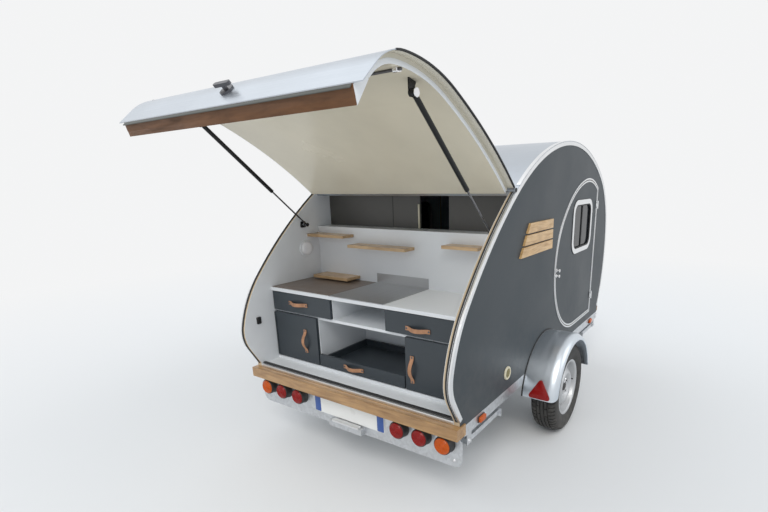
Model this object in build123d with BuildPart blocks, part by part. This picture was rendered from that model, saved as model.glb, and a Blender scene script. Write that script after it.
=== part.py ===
from build123d import *
import math
import os

os.makedirs("parts", exist_ok=True)

# A teardrop camping trailer with a galley under its rear hatch. Millimetres.
# +X is forward, towards the drawbar, +Y is the left side, +Z is up, and Z = 0 is the ground.
# Places along the trailer are stations: distances ahead of the rear end of the chassis rails.
# The frame's X is the station less mid_station, the middle of the whole length with the hatch open.

body_width = 1470
half_width = body_width / 2
wall = 35
inner_half = half_width - wall
floor_bottom = 450
floor_top = 482
overall_length = 4103.4
mid_station = 1452.3

axle_station = 1035
axle_height = 285
tyre_width = 165
wheel_plane = 840
rail_height = 58
rail_length = 2345
rail_bottom = floor_bottom - rail_height

sheet = 3
hatch_lift = 7
hatch_depth = 26
hatch_end_height = 536
hatch_open_angle = 76
hinge_node = 5
pivot_above_outline = 9.5
moving_gap = 6

# Side outline from the front sill over the roof to the rear sill.
# Each row is where one tangent arc meets the next: station, height.
outline_start_heading = 63.5
outline_nodes = [
    (2345, 500),
    (2436, 1192),
    (2150, 1595),
    (1455, 1797),
    (730, 1637),
    (520, 1510),
    (10, 1027),
    (-128, 745),
    (-108, 600),
    (-45, 489),
]

# Cabin door outline, from its bottom edge round the back and over the top: station, height.
door_start_heading = 180
door_nodes = [(1640, 527), (1176, 1000), (1300, 1314), (1780, 1557), (2072, 1494)]
door_front_bottom = (2072, 527)


def at(station):
    return station - mid_station


def headings(nodes, first_heading):
    """Direction of travel in degrees at every node of a chain of tangent arcs."""
    result = [first_heading]
    for (x0, z0), (x1, z1) in zip(nodes, nodes[1:]):
        chord = math.degrees(math.atan2(z1 - z0, x1 - x0))
        half_turn = (chord - result[-1] + 180) % 360 - 180
        result.append(chord + half_turn)
    return result


outline_headings = headings(outline_nodes, outline_start_heading)


def inset_node(index, inset):
    """An outline node moved towards the inside of the body by inset."""
    normal = math.radians(outline_headings[index] + 90)
    x, z = outline_nodes[index]
    return (x + inset * math.cos(normal), z + inset * math.sin(normal))


def outline_arcs(first, last, inset):
    for index in range(first, last):
        heading = math.radians(outline_headings[index])
        TangentArc(
            inset_node(index, inset),
            inset_node(index + 1, inset),
            tangent=(math.cos(heading), math.sin(heading)),
        )


def band(first, last, outer_inset, inner_inset):
    """A strip that follows the outline between two insets, to add to a side sketch."""
    with BuildSketch() as strip:
        with BuildLine():
            outline_arcs(first, last, outer_inset)
            outline_arcs(first, last, inner_inset)
            Line(inset_node(first, outer_inset), inset_node(first, inner_inset))
            Line(inset_node(last, outer_inset), inset_node(last, inner_inset))
        make_face()
    return strip.sketch_local


def side_plane(y):
    """Sketch plane at y whose own X is the station and own Y the height; it faces -Y."""
    return Plane(origin=(-mid_station, y, 0), x_dir=(1, 0, 0), z_dir=(0, -1, 0))


def hub_plane(side):
    """Plane through a wheel's axis: own X is outward from the wheel's middle, own Y is up."""
    return Plane(
        origin=(at(axle_station), side * wheel_plane, axle_height),
        x_dir=(0, side, 0),
        z_dir=(side, 0, 0),
    )


last_node = len(outline_nodes) - 1
pivot_station, pivot_height = inset_node(hinge_node, -pivot_above_outline)
hatch_turn = math.radians(hatch_open_angle)


def opened(station, height):
    """Where a point of the closed hatch stands when the hatch is open."""
    dx = station - pivot_station
    dz = height - pivot_height
    return (
        pivot_station + dx * math.cos(hatch_turn) + dz * math.sin(hatch_turn),
        pivot_height - dx * math.sin(hatch_turn) + dz * math.cos(hatch_turn),
    )


def hatch_plane(y):
    """As side_plane, turned with the open hatch, so that it takes the closed hatch's sizes."""
    station, height = opened(0, 0)
    return Plane(
        origin=(at(station), y, height),
        x_dir=(math.cos(hatch_turn), 0, -math.sin(hatch_turn)),
        z_dir=(0, -1, 0),
    )


def block(low, high, mode=Mode.ADD):
    """A box between two corners, each given as station, y, height."""
    with Locations((at(low[0]), low[1], low[2])):
        Box(
            high[0] - low[0],
            high[1] - low[1],
            high[2] - low[2],
            align=(Align.MIN, Align.MIN, Align.MIN),
            mode=mode,
        )


def save(name, label):
    name.part.label = label
    export_step(name.part, f"parts/{label}.step")


# Chassis: two side rails, four crossmembers and the hangers of the corner stands
rail_width = 40
crossmember_stations = [0, 760, 1520, rail_length - 45]
crossmember_width = 45
front_crossmember_bottom = 336
# Pivots of the corner stands: station, and which way the folded leg points along the trailer
stand_stations = [(45, 1), (rail_length - 75, -1)]
stand_y = half_width - rail_width / 2
stand_pivot_height = 350
stand_length = 340
stand_half = 15
stand_pin_radius = 6

with BuildPart() as chassis_frame:
    for side in (-1, 1):
        inner_y = side * (half_width - rail_width)
        low_y = min(inner_y, side * half_width)
        block((0, low_y, rail_bottom), (rail_length, low_y + rail_width, floor_bottom))
    for station in crossmember_stations:
        bottom = front_crossmember_bottom if station > 2000 else rail_bottom
        block(
            (station, -half_width + rail_width, bottom),
            (station + crossmember_width, half_width - rail_width, floor_bottom),
        )
    for station, way in stand_stations:
        for side in (-1, 1):
            for low_y in (side * stand_y - rail_width / 2, side * stand_y + stand_half + 1):
                block((station - 22, low_y, stand_pivot_height - 18), (station + 22, low_y + 4, rail_bottom))
            with BuildSketch(side_plane(side * stand_y)):
                with Locations((station, stand_pivot_height)):
                    Circle(stand_pin_radius)
            extrude(amount=rail_width / 2, both=True)
save(chassis_frame, "chassis_frame")

# Drawbar: one box tube under the crossmembers, with the clamp of the jockey wheel
drawbar_size = 70
drawbar_top = front_crossmember_bottom
drawbar_bottom = drawbar_top - drawbar_size
nose_station = mid_station + overall_length / 2
coupling_length = 240
drawbar_front = nose_station - coupling_length + 90
drawbar_rear = 1150
jockey_station = 2960
jockey_y = 88
mast_radius = 24
clamp_bottom = 345
clamp_height = 60

with BuildPart() as drawbar:
    block(
        (drawbar_rear, -drawbar_size / 2, drawbar_bottom),
        (drawbar_front, drawbar_size / 2, drawbar_top),
    )
    block((jockey_station - 30, 8, drawbar_top), (jockey_station + 30, 35, clamp_bottom + clamp_height))
    block(
        (jockey_station - 30, 35, clamp_bottom),
        (jockey_station + 30, jockey_y, clamp_bottom + clamp_height),
    )
    with BuildSketch(Plane.XY.offset(clamp_bottom)):
        with Locations((at(jockey_station), jockey_y)):
            Circle(mast_radius + 8)
    extrude(amount=clamp_height)
    with BuildSketch(Plane.XY.offset(clamp_bottom)):
        with Locations((at(jockey_station), jockey_y)):
            Circle(mast_radius + 0.05)
    extrude(amount=clamp_height, mode=Mode.SUBTRACT)
save(drawbar, "drawbar")

# Coupling head on the drawbar's end, with a round socket open below
socket_station = nose_station - 42
socket_height = drawbar_top + 22
socket_radius = 25.2

with BuildPart() as coupling_head:
    with BuildSketch(Plane.XY.offset(drawbar_top)):
        with Locations((at(socket_station), 0)):
            Circle(42)
        with BuildLine():
            Polyline(
                (at(socket_station), 40),
                (at(nose_station - coupling_length), 30),
                (at(nose_station - coupling_length), -30),
                (at(socket_station), -40),
                close=True,
            )
        make_face()
    extrude(amount=52)
    fillet(coupling_head.faces().sort_by(Axis.Z)[-1].edges(), radius=14)
    with BuildSketch(Plane.XY.offset(drawbar_top)):
        with Locations((at(socket_station), 0)):
            Circle(socket_radius)
    extrude(amount=40, mode=Mode.SUBTRACT)
    # Lever along the top, from above the socket back to its raised grip
    with BuildSketch(side_plane(0)):
        with BuildLine():
            lever = Polyline(
                (socket_station - 2, drawbar_top + 50),
                (socket_station - 50, drawbar_top + 64),
                (socket_station - 120, drawbar_top + 66),
                (socket_station - 172, drawbar_top + 84),
            )
            offset(amount=8, side=Side.BOTH)
        make_face()
    extrude(amount=13, both=True)
save(coupling_head, "coupling_head")

# Axle: a square tube across the chassis, trailing arms and stub axles
beam_station = axle_station + 150
stub_radius = 17.5
stub_end = wheel_plane + 30
arm_inner = inner_half
arm_outer = half_width + 5

with BuildPart() as axle:
    block((beam_station - 30, -arm_inner, drawbar_top), (beam_station + 30, arm_inner, rail_bottom))
    for side in (-1, 1):
        with BuildSketch(side_plane(side * arm_inner)):
            with Locations((beam_station, rail_bottom - 32)):
                Circle(28)
            with Locations((axle_station, axle_height)):
                Circle(28)
            with BuildLine():
                Polyline(
                    (beam_station - 8, rail_bottom - 60),
                    (axle_station + 8, axle_height - 27),
                    (axle_station - 8, axle_height + 27),
                    (beam_station - 8, rail_bottom - 6),
                    close=True,
                )
            make_face()
        extrude(amount=-side * (arm_outer - arm_inner))
        with BuildSketch(side_plane(side * arm_outer)):
            with Locations((axle_station, axle_height)):
                Circle(stub_radius)
        extrude(amount=-side * (stub_end - arm_outer))
save(axle, "axle")

# Timber beams across the back and the front of the chassis; the body's rear edge stands on one
rear_beam_top = 466
with BuildPart() as timber_beams:
    block((-84, -half_width - 8, 408), (-4, half_width + 8, rear_beam_top))
    block((rail_length + 1, -half_width, 455), (rail_length + 22, half_width, 497))
save(timber_beams, "timber_beams")

# Fender sizes, from the wheel's middle: x is outward and the radii are from the axle
fender_radius = 352
fender_lip_radius = 309
fender_reach = 213
fender_roll = 38
fender_sheet = 3
fender_corner = 40
fender_half_angle = 84
fender_wall_x = half_width - wheel_plane
fender_edge_x = fender_wall_x + fender_reach
fender_end_height = axle_height + fender_lip_radius * math.cos(math.radians(fender_half_angle))
axle_axis = Axis((at(axle_station), 0, axle_height), (0, 1, 0))

# Zinc plate for the rear lamps, with rounded lower corners
lamp_plate_rear = -22
lamp_plate_bottom = 226
lamp_height = 346
lamp_radius = 48
lamp_places = [(side * y, lamp_height) for side in (-1, 1) for y in (371, 510, 645)]
lamp_depth = 42
lens_radius = 43
lens_depth = 8


def rear_plane(station):
    """Sketch plane facing backwards: own X is -Y, own Y is the height."""
    return Plane(origin=(at(station), 0, 0), x_dir=(0, -1, 0), z_dir=(-1, 0, 0))


with BuildPart() as lamp_plate:
    with BuildSketch(rear_plane(lamp_plate_rear + sheet)) as plate_outline:
        with Locations((0, (lamp_plate_bottom + rail_bottom) / 2)):
            Rectangle(2 * half_width, rail_bottom - lamp_plate_bottom)
        fillet(plate_outline.vertices().group_by(Axis.Z)[0], radius=48)
    extrude(amount=sheet)
    block((lamp_plate_rear, -half_width + 60, rail_bottom - 25), (0, half_width - 60, rail_bottom))
    block((lamp_plate_rear - 34, -120, 232), (lamp_plate_rear, 120, 268))
save(lamp_plate, "lamp_plate")

with BuildPart() as lamp_housings:
    with BuildSketch(rear_plane(lamp_plate_rear)):
        with Locations(*lamp_places):
            Circle(lamp_radius)
    extrude(amount=lamp_depth)
save(lamp_housings, "lamp_housings")

marker_height = floor_bottom - rail_height / 2 - 2
marker_stations = [165, 2130]
lens_rounding = 7
# Triangular reflectors on the backs of the fenders, this far round from the axle's height
reflector_angle = 14
reflector_y = 845
reflector_size = 84
reflector_depth = 9


def reflector_plane(side):
    turn = math.radians(reflector_angle)
    outward = (-math.cos(turn), 0, math.sin(turn))
    return Plane(
        origin=(
            at(axle_station) + fender_radius * outward[0],
            side * reflector_y,
            axle_height + fender_radius * outward[2],
        ),
        x_dir=(0, -1, 0),
        z_dir=outward,
    )


with BuildPart() as red_lamps:
    with BuildSketch(rear_plane(lamp_plate_rear - lamp_depth)):
        with Locations(*[place for place in lamp_places if abs(place[0]) < 600]):
            Circle(lens_radius)
    extrude(amount=lens_depth)
    chamfer(red_lamps.faces().group_by(Axis.X)[0].edges(), lens_rounding, lens_rounding / 2)
    for side in (-1, 1):
        with BuildSketch(reflector_plane(side).offset(-reflector_depth)) as reflector:
            RegularPolygon(reflector_size, 3, rotation=90)
            fillet(reflector.vertices(), radius=8)
        extrude(amount=reflector_depth * 2)
    with Locations(Plane(origin=axle_axis.position, z_dir=(0, 1, 0))):
        Cylinder(fender_radius, 2200, mode=Mode.SUBTRACT)
save(red_lamps, "red_lamps")

with BuildPart() as amber_lamps:
    with BuildSketch(rear_plane(lamp_plate_rear - lamp_depth)):
        with Locations(*[place for place in lamp_places if abs(place[0]) > 600]):
            Circle(lens_radius)
    extrude(amount=lens_depth)
    chamfer(amber_lamps.faces().group_by(Axis.X)[0].edges(), lens_rounding, lens_rounding / 2)
    for side in (-1, 1):
        with BuildSketch(side_plane(side * half_width)):
            with Locations(*[(station, marker_height) for station in marker_stations]):
                RectangleRounded(62, 36, 8)
        extrude(amount=-side * 16)
save(amber_lamps, "amber_lamps")

with BuildPart() as number_plate:
    with BuildSketch(rear_plane(lamp_plate_rear)):
        with Locations((0, 333)):
            RectangleRounded(520, 110, 8)
    extrude(amount=4)
save(number_plate, "number_plate")

# Floor of the cabin and galley
with BuildPart() as cabin_floor:
    block((-44, -inner_half, rear_beam_top + 1), (rail_length, inner_half, floor_top))
    block((0, -inner_half, floor_bottom), (rail_length, inner_half, floor_top))
    block((rail_length - 25, -inner_half, floor_top), (rail_length, inner_half, 500))
save(cabin_floor, "cabin_floor")

# Side walls with their door openings
door_gap = 6
trim_width = 10


def door_shape(grow):
    """The cabin door's outline, grown by a gap, to add to a side sketch."""
    with BuildSketch() as shape:
        with BuildLine():
            for index, heading in enumerate(headings(door_nodes, door_start_heading)[:-1]):
                turn = math.radians(heading)
                TangentArc(
                    door_nodes[index],
                    door_nodes[index + 1],
                    tangent=(math.cos(turn), math.sin(turn)),
                )
            Polyline(door_nodes[-1], door_front_bottom, door_nodes[0])
        make_face()
        if grow:
            offset(amount=grow, kind=Kind.INTERSECTION, mode=Mode.REPLACE)
    return shape.sketch_local


def side_wall(side):
    with BuildPart() as panel:
        with BuildSketch(side_plane(side * half_width)):
            with BuildLine():
                outline_arcs(0, last_node, 0)
                Polyline(
                    outline_nodes[last_node],
                    (-45, rear_beam_top + 1),
                    (-3, rear_beam_top + 1),
                    (-3, floor_bottom),
                    (rail_length, floor_bottom),
                    outline_nodes[0],
                )
            make_face()
        extrude(amount=side * wall)
        with BuildSketch(side_plane(side * half_width)):
            add(door_shape(door_gap))
        extrude(amount=side * wall, mode=Mode.SUBTRACT)
    return panel


side_names = [(-1, "right"), (1, "left")]
for side, name in side_names:
    save(side_wall(side), f"side_wall_{name}")

# Roof and front: a core between the walls under one sheet that laps over them
roof_core = 27
hinge_rod_radius = 5
curl_inner = hinge_rod_radius + 0.6
curl_outer = 9

with BuildPart() as roof:
    with BuildSketch(side_plane(0)):
        add(band(0, hinge_node, 0, roof_core))
    extrude(amount=inner_half, both=True)
    with BuildSketch(side_plane(0)):
        add(band(0, hinge_node, -sheet, 0))
    extrude(amount=half_width, both=True)
    with BuildSketch(side_plane(0)):
        with Locations((pivot_station, pivot_height)):
            Circle(curl_outer)
            Circle(curl_inner, mode=Mode.SUBTRACT)
        with BuildLine():
            Polyline(
                (pivot_station, pivot_height),
                (pivot_station - 12, pivot_height + 26),
                (pivot_station - 20, pivot_height + 26),
                (pivot_station - 20, pivot_height - 26),
                (pivot_station - 9.5, pivot_height - 26),
                close=True,
            )
        make_face(mode=Mode.SUBTRACT)
    extrude(amount=half_width, both=True)
save(roof, "roof")

# Aluminium trims: edge strips round both side panels, and rings round the door openings
edge_trim_width = 22
trim_depth = 3

# Cabin door hinges: a leaf each side of the gap, three knuckles and a pin
hinge_heights = (657, 1376)
hinge_station = door_nodes[-1][0] + door_gap / 2
leaf_reach = 29
leaf_start = 7
knuckle_radius = 6
knuckle_y = half_width + trim_depth + knuckle_radius + 0.5
pin_radius = 3
# Lowest and highest z of the hinge and of its knuckles, from its middle
full_span = (-29, 29)
door_span = (-9.5, 9.5)
body_spans = [(-29, -10), (10, 29)]


def hinge_leaves(side, way, bridges):
    """Flat leaves on the trims; way is 1 for the body's, ahead of the pin, and -1 for the door's."""
    low_y = side * (half_width + trim_depth * 1.5) - trim_depth / 2
    for height in hinge_heights:
        for near, far, spans in [(leaf_start, leaf_reach, [full_span]), (0, leaf_start, bridges)]:
            low_station = hinge_station + min(way * near, way * far)
            for low_z, high_z in spans:
                block(
                    (low_station, low_y, height + low_z),
                    (low_station + far - near, low_y + trim_depth, height + high_z),
                )


def hinge_knuckles(side, spans, radius, mode=Mode.ADD):
    for height in hinge_heights:
        for low_z, high_z in spans:
            with Locations((at(hinge_station), side * knuckle_y, height + (low_z + high_z) / 2)):
                Cylinder(radius, high_z - low_z, mode=mode)


with BuildPart() as edge_trims:
    for side in (-1, 1):
        with BuildSketch(side_plane(side * half_width)):
            add(band(0, last_node, 0, edge_trim_width))
        extrude(amount=-side * trim_depth)
        with BuildSketch(side_plane(side * half_width)):
            add(door_shape(door_gap + trim_width))
            add(door_shape(door_gap), mode=Mode.SUBTRACT)
        extrude(amount=-side * trim_depth)
        hinge_leaves(side, 1, body_spans)
        hinge_knuckles(side, body_spans, knuckle_radius)
        hinge_knuckles(side, [full_span], pin_radius)
save(edge_trims, "edge_trims")

# Bulkhead between cabin and galley, with a ledge and set-back upper panels
bulkhead_station = 515
bulkhead_thickness = 18
ledge_height = 1290
upper_station = 640
opening_y = (-265, -60)

with BuildPart() as bulkhead:
    block(
        (bulkhead_station, -inner_half, floor_top),
        (bulkhead_station + bulkhead_thickness, inner_half, ledge_height - 15),
    )
    block(
        (bulkhead_station, -inner_half, ledge_height - 15),
        (upper_station + 15, inner_half, ledge_height),
    )
save(bulkhead, "bulkhead")

with BuildPart() as upper_panels:
    block((upper_station, -inner_half, ledge_height), (upper_station + 15, inner_half, 1540))
    block(
        (upper_station, opening_y[0], ledge_height),
        (upper_station + 15, opening_y[1], 1520),
        mode=Mode.SUBTRACT,
    )
save(upper_panels, "upper_panels")

# Galley cabinet: white carcass with dividers, shelf and kick board
worktop_top = 950
worktop_thickness = 20
front_station = 92
front_thickness = 18
carcass_station = front_station + front_thickness + 1
board = 16
# Boundaries of the drawers above and the doors below, from right to left
drawer_edges = (-196, 196)
door_edges = (-322, 322)
shelf_height = 796
kick_height = 500
panel_gap = 5

with BuildPart() as galley_cabinet:
    carcass_top = worktop_top - worktop_thickness
    block((front_station, -inner_half, floor_top), (carcass_station, inner_half, kick_height))
    for low_y in (-inner_half, inner_half - board):
        block((carcass_station, low_y, floor_top), (bulkhead_station, low_y + board, carcass_top))
    block((carcass_station, -inner_half, shelf_height - 8), (bulkhead_station, inner_half, shelf_height + 8))
    for edge in drawer_edges:
        sign = -1 if edge < 0 else 1
        low_y = edge if sign > 0 else edge - board
        block((carcass_station, low_y, shelf_height), (bulkhead_station, low_y + board, carcass_top))
    for edge in door_edges:
        sign = -1 if edge < 0 else 1
        low_y = edge if sign > 0 else edge - board
        block((carcass_station, low_y, floor_top), (bulkhead_station, low_y + board, shelf_height))
save(galley_cabinet, "galley_cabinet")

with BuildPart() as worktop:
    block(
        (front_station - 6, -inner_half, worktop_top - worktop_thickness),
        (bulkhead_station, inner_half, worktop_top),
    )
save(worktop, "worktop")

with BuildPart() as worktop_board:
    block((front_station + 5, drawer_edges[1] + 5, worktop_top), (bulkhead_station - 12, inner_half - 2, worktop_top + 4))
save(worktop_board, "worktop_board")

with BuildPart() as cooker_cover:
    block((front_station - 8, drawer_edges[0], worktop_top), (bulkhead_station - 4, drawer_edges[1], worktop_top + 4))
    block((bulkhead_station - 4, drawer_edges[0], worktop_top), (bulkhead_station, drawer_edges[1], worktop_top + 62))
save(cooker_cover, "cooker_cover")

# Timber shelves on the bulkhead: low y, high y, height of the underside, depth
shelf_table = [
    (380, inner_half, 1230, 100),
    (-100, 345, 1176, 100),
    (-568, -344, 1210, 90),
    (345, 650, worktop_top + 14, 120),
]

with BuildPart() as wall_shelves:
    for low_y, high_y, height, depth in shelf_table:
        block((bulkhead_station - depth, low_y, height), (bulkhead_station, high_y, height + 18))
save(wall_shelves, "wall_shelves")

# Drawers and the pull-out tray: name, low y, high y, low z, high z of the front
drawer_table = [
    ("drawer_left", drawer_edges[1], inner_half, shelf_height + 8, worktop_top - worktop_thickness),
    ("drawer_right", -inner_half, drawer_edges[0], shelf_height + 8, worktop_top - worktop_thickness),
    ("galley_tray", door_edges[0], door_edges[1], kick_height, 580),
]
drawer_length = 390

for name, low_y, high_y, low_z, high_z in drawer_table:
    with BuildPart() as drawer:
        block(
            (front_station, low_y + panel_gap, low_z + panel_gap),
            (front_station + front_thickness, high_y - panel_gap, high_z - panel_gap),
        )
        box_low = (front_station + front_thickness, low_y + 30, low_z + 15)
        box_high = (front_station + drawer_length, high_y - 30, high_z - 15)
        block(box_low, box_high)
        block(
            (box_low[0], box_low[1] + 12, box_low[2] + 8),
            (box_high[0] - 12, box_high[1] - 12, box_high[2]),
            mode=Mode.SUBTRACT,
        )
    save(drawer, name)

# Cupboard doors under the drawers, each with a hinge barrel by the wall: name, low y, high y
cupboard_barrel_radius = 3.5
cupboard_hinge_station = front_station - 3
cupboard_hinge_y = inner_half - panel_gap - cupboard_barrel_radius
cupboard_table = [
    ("cupboard_right", -inner_half, door_edges[0]),
    ("cupboard_left", door_edges[1], inner_half),
]
for name, low_y, high_y in cupboard_table:
    with BuildPart() as cupboard:
        block(
            (front_station, low_y + panel_gap, kick_height + panel_gap),
            (front_station + front_thickness, high_y - panel_gap, shelf_height),
        )
        wall_side = -1 if low_y < 0 else 1
        with BuildSketch(Plane.XY.offset(kick_height + panel_gap + 4)):
            with Locations((at(cupboard_hinge_station), wall_side * cupboard_hinge_y)):
                Circle(cupboard_barrel_radius)
        extrude(amount=shelf_height - kick_height - panel_gap - 8)
    save(cupboard, name)

# Fenders: a rolled sheet with a bent-down lip, swept round the axle, its lower corners rounded
with BuildPart() as fenders:
    for side in (-1, 1):
        with BuildSketch(hub_plane(side)) as fender_section:
            with BuildLine():
                outer_top = Line((fender_wall_x, fender_radius), (fender_edge_x - fender_roll, fender_radius))
                outer_lip = Line((fender_edge_x, fender_radius - fender_roll), (fender_edge_x, fender_lip_radius))
                outer_bend = TangentArc(outer_top @ 1, outer_lip @ 0, tangent=outer_top % 1)
                offset(amount=-fender_sheet, side=Side.RIGHT, mode=Mode.ADD)
            make_face()
        for way in (-1, 1):
            revolve(fender_section.sketch, axis=axle_axis, revolution_arc=way * fender_half_angle)
    for side in (-1, 1):
        outer_y = side * (wheel_plane + fender_edge_x)
        inner_y = outer_y - side * fender_corner
        for way in (-1, 1):
            with BuildSketch(rear_plane(axle_station + way * fender_radius * 0.75)) as corner:
                with Locations(((outer_y + inner_y) / -2, fender_end_height + fender_corner / 2)):
                    Rectangle(fender_corner + 4, fender_corner + 4)
                with Locations((-inner_y, fender_end_height + fender_corner)):
                    Circle(fender_corner, mode=Mode.SUBTRACT)
                with Locations((-inner_y + side * fender_corner, fender_end_height + fender_corner)):
                    Rectangle(fender_corner * 2, fender_corner * 4, mode=Mode.SUBTRACT)
                with Locations((-outer_y, fender_end_height + fender_corner * 2)):
                    Rectangle(fender_corner * 4, fender_corner * 2, mode=Mode.SUBTRACT)
            extrude(amount=-way * fender_radius * 0.3, mode=Mode.SUBTRACT)
save(fenders, "fenders")

# Round vents low on the side walls, a round lamp and the timber slats
vent_place = (468, 549)
slat_bottom = 1162
slat_height = 53
slat_gap = 9
slat_front = 1067
slat_slope = (702 - 581) / (1339 - 1162)

with BuildPart() as side_vents:
    for side in (-1, 1):
        with BuildSketch(side_plane(side * half_width)):
            with Locations(vent_place):
                Circle(38)
                Circle(26, mode=Mode.SUBTRACT)
        extrude(amount=-side * 8)
        with BuildSketch(side_plane(side * half_width)):
            with Locations(vent_place):
                Circle(26)
        extrude(amount=-side * 4)
    with BuildSketch(side_plane(inner_half)):
        with Locations((396, 1153)):
            Circle(55)
    extrude(amount=22)
save(side_vents, "side_vents")

with BuildPart() as side_slats:
    for side in (-1, 1):
        with BuildSketch(side_plane(side * half_width)):
            for row in range(3):
                low = slat_bottom + row * (slat_height + slat_gap)
                high = low + slat_height
                with BuildLine():
                    Polyline(
                        (slat_front, low),
                        (slat_front, high),
                        (581 + slat_slope * (high - slat_bottom), high),
                        (581 + slat_slope * (low - slat_bottom), low),
                        close=True,
                    )
                make_face()
        extrude(amount=-side * 12)
save(side_slats, "side_slats")

# Low round vent on the roof
with BuildPart() as roof_vent:
    with BuildSketch(Plane.XY.offset(1775)):
        with Locations((at(1500), 0)):
            RectangleRounded(300, 300, 30)
    extrude(amount=45)
    chamfer(roof_vent.faces().sort_by(Axis.Z)[-1].edges(), 12, 7)
    with BuildSketch(side_plane(0)):
        with BuildLine():
            outline_arcs(2, 4, -sheet)
            Polyline(inset_node(4, -sheet), (730, 1400), (2150, 1400), inset_node(2, -sheet))
        make_face()
    extrude(amount=400, both=True, mode=Mode.SUBTRACT)
save(roof_vent, "roof_vent")

# Cable along the drawbar and its plug in a holder
cable_radius = 5
cable_y = -12
cable_height = drawbar_top + cable_radius + 0.3

with BuildPart() as drawbar_cable:
    with BuildSketch(Plane(origin=(at(rail_length + 1), 0, 0), x_dir=(0, 1, 0), z_dir=(1, 0, 0))):
        with Locations((cable_y, cable_height)):
            Circle(cable_radius)
    extrude(amount=nose_station - coupling_length - 60 - rail_length)
save(drawbar_cable, "drawbar_cable")

with BuildPart() as cable_plug:
    plug_station = nose_station - coupling_length - 59
    with BuildSketch(Plane(origin=(at(plug_station), 0, 0), x_dir=(0, 1, 0), z_dir=(1, 0, 0))):
        with Locations((cable_y, drawbar_top + 22)):
            Circle(22)
    extrude(amount=50)
save(cable_plug, "cable_plug")

# Wheels: steel rims with tyres
rim_radius = 165
flange_radius = 177
hub_radius = 52
disc_holes = 16
disc_hole_radius = 9.5
disc_hole_circle = 122

for side, name in side_names:
    with BuildPart() as tyre:
        with BuildSketch(hub_plane(side)) as tyre_section:
            with BuildLine():
                Polyline(
                    (-58, rim_radius),
                    (-64, flange_radius),
                    (-67, flange_radius + 3),
                    (-tyre_width / 2, 218),
                    (-77, 260),
                    (-60, axle_height - 3),
                    (-40, axle_height),
                    (40, axle_height),
                    (60, axle_height - 3),
                    (77, 260),
                    (tyre_width / 2, 218),
                    (67, flange_radius + 3),
                    (64, flange_radius),
                    (58, rim_radius),
                    close=True,
                )
            make_face()
        revolve(axis=axle_axis, revolution_arc=360)
    save(tyre, f"tyre_{name}")
    with BuildPart() as wheel:
        with BuildSketch(hub_plane(side)):
            with BuildLine():
                Polyline(
                    (-58, rim_radius),
                    (-64, flange_radius),
                    (-68, flange_radius),
                    (-62, rim_radius - 6),
                    (24, rim_radius - 6),
                    (27, 150),
                    (38, 120),
                    (51, 103),
                    (51, 85),
                    (30, 63),
                    (30, hub_radius),
                    (-30, hub_radius),
                    (-30, stub_radius + 0.05),
                    (30.5, stub_radius + 0.05),
                    (30.5, 0),
                    (42, 0),
                    (42, 28),
                    (36, 30),
                    (36, 62),
                    (57, 84),
                    (57, 104),
                    (44, 122),
                    (34, 150),
                    (31, rim_radius - 6),
                    (62, rim_radius - 6),
                    (68, flange_radius),
                    (64, flange_radius),
                    (58, rim_radius),
                    close=True,
                )
            make_face()
        revolve(axis=axle_axis, revolution_arc=360)
        with BuildSketch(side_plane(side * wheel_plane)):
            with Locations((axle_station, axle_height)):
                with PolarLocations(disc_hole_circle, disc_holes):
                    Circle(disc_hole_radius)
        extrude(amount=-side * 80, mode=Mode.SUBTRACT)
    save(wheel, f"wheel_{name}")


def hatch_cut(index, distance):
    """Plane across the open hatch, distance along the outline from a node; it faces backwards."""
    heading = math.radians(outline_headings[index])
    x, z = outline_nodes[index]
    x += distance * math.cos(heading)
    z += distance * math.sin(heading)
    station, height = opened(x, z)
    ahead_x, ahead_z = opened(x + math.cos(heading), z + math.sin(heading))
    return Plane(
        origin=(at(station), 0, height),
        z_dir=(ahead_x - station, 0, ahead_z - height),
    )


def hatch_level(height):
    """Plane across the open hatch that lies level, facing down, when the hatch is closed."""
    station, level = opened(outline_nodes[last_node][0], height)
    return Plane(origin=(at(station), 0, level), z_dir=(-math.sin(hatch_turn), 0, -math.cos(hatch_turn)))


hatch_half = inner_half - moving_gap
hatch_timber_thickness = 20

# Hatch: outer sheet with hinge rod, core, timber edge and handle
with BuildPart() as hatch_sheet:
    with BuildSketch(hatch_plane(0)):
        add(band(hinge_node, last_node, -hatch_lift - sheet, -hatch_lift))
    extrude(amount=half_width, both=True)
    split(bisect_by=hatch_level(hatch_end_height - hatch_timber_thickness), keep=Keep.BOTTOM)
    with BuildSketch(hatch_plane(0)):
        with Locations((pivot_station, pivot_height)):
            Circle(hinge_rod_radius)
    extrude(amount=half_width, both=True)
save(hatch_sheet, "hatch_sheet")

with BuildPart() as hatch_core:
    with BuildSketch(hatch_plane(0)):
        add(band(hinge_node, last_node, -hatch_lift, hatch_depth))
    extrude(amount=hatch_half, both=True)
    split(bisect_by=hatch_cut(hinge_node, 16), keep=Keep.TOP)
    split(bisect_by=hatch_level(hatch_end_height), keep=Keep.BOTTOM)
save(hatch_core, "hatch_core")

with BuildPart() as hatch_timber:
    with BuildSketch(hatch_plane(0)):
        add(band(last_node - 1, last_node, -hatch_lift, hatch_depth))
    extrude(amount=hatch_half, both=True)
    split(bisect_by=hatch_level(hatch_end_height), keep=Keep.TOP)
    split(bisect_by=hatch_level(hatch_end_height - hatch_timber_thickness), keep=Keep.BOTTOM)
save(hatch_timber, "hatch_timber")

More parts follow.
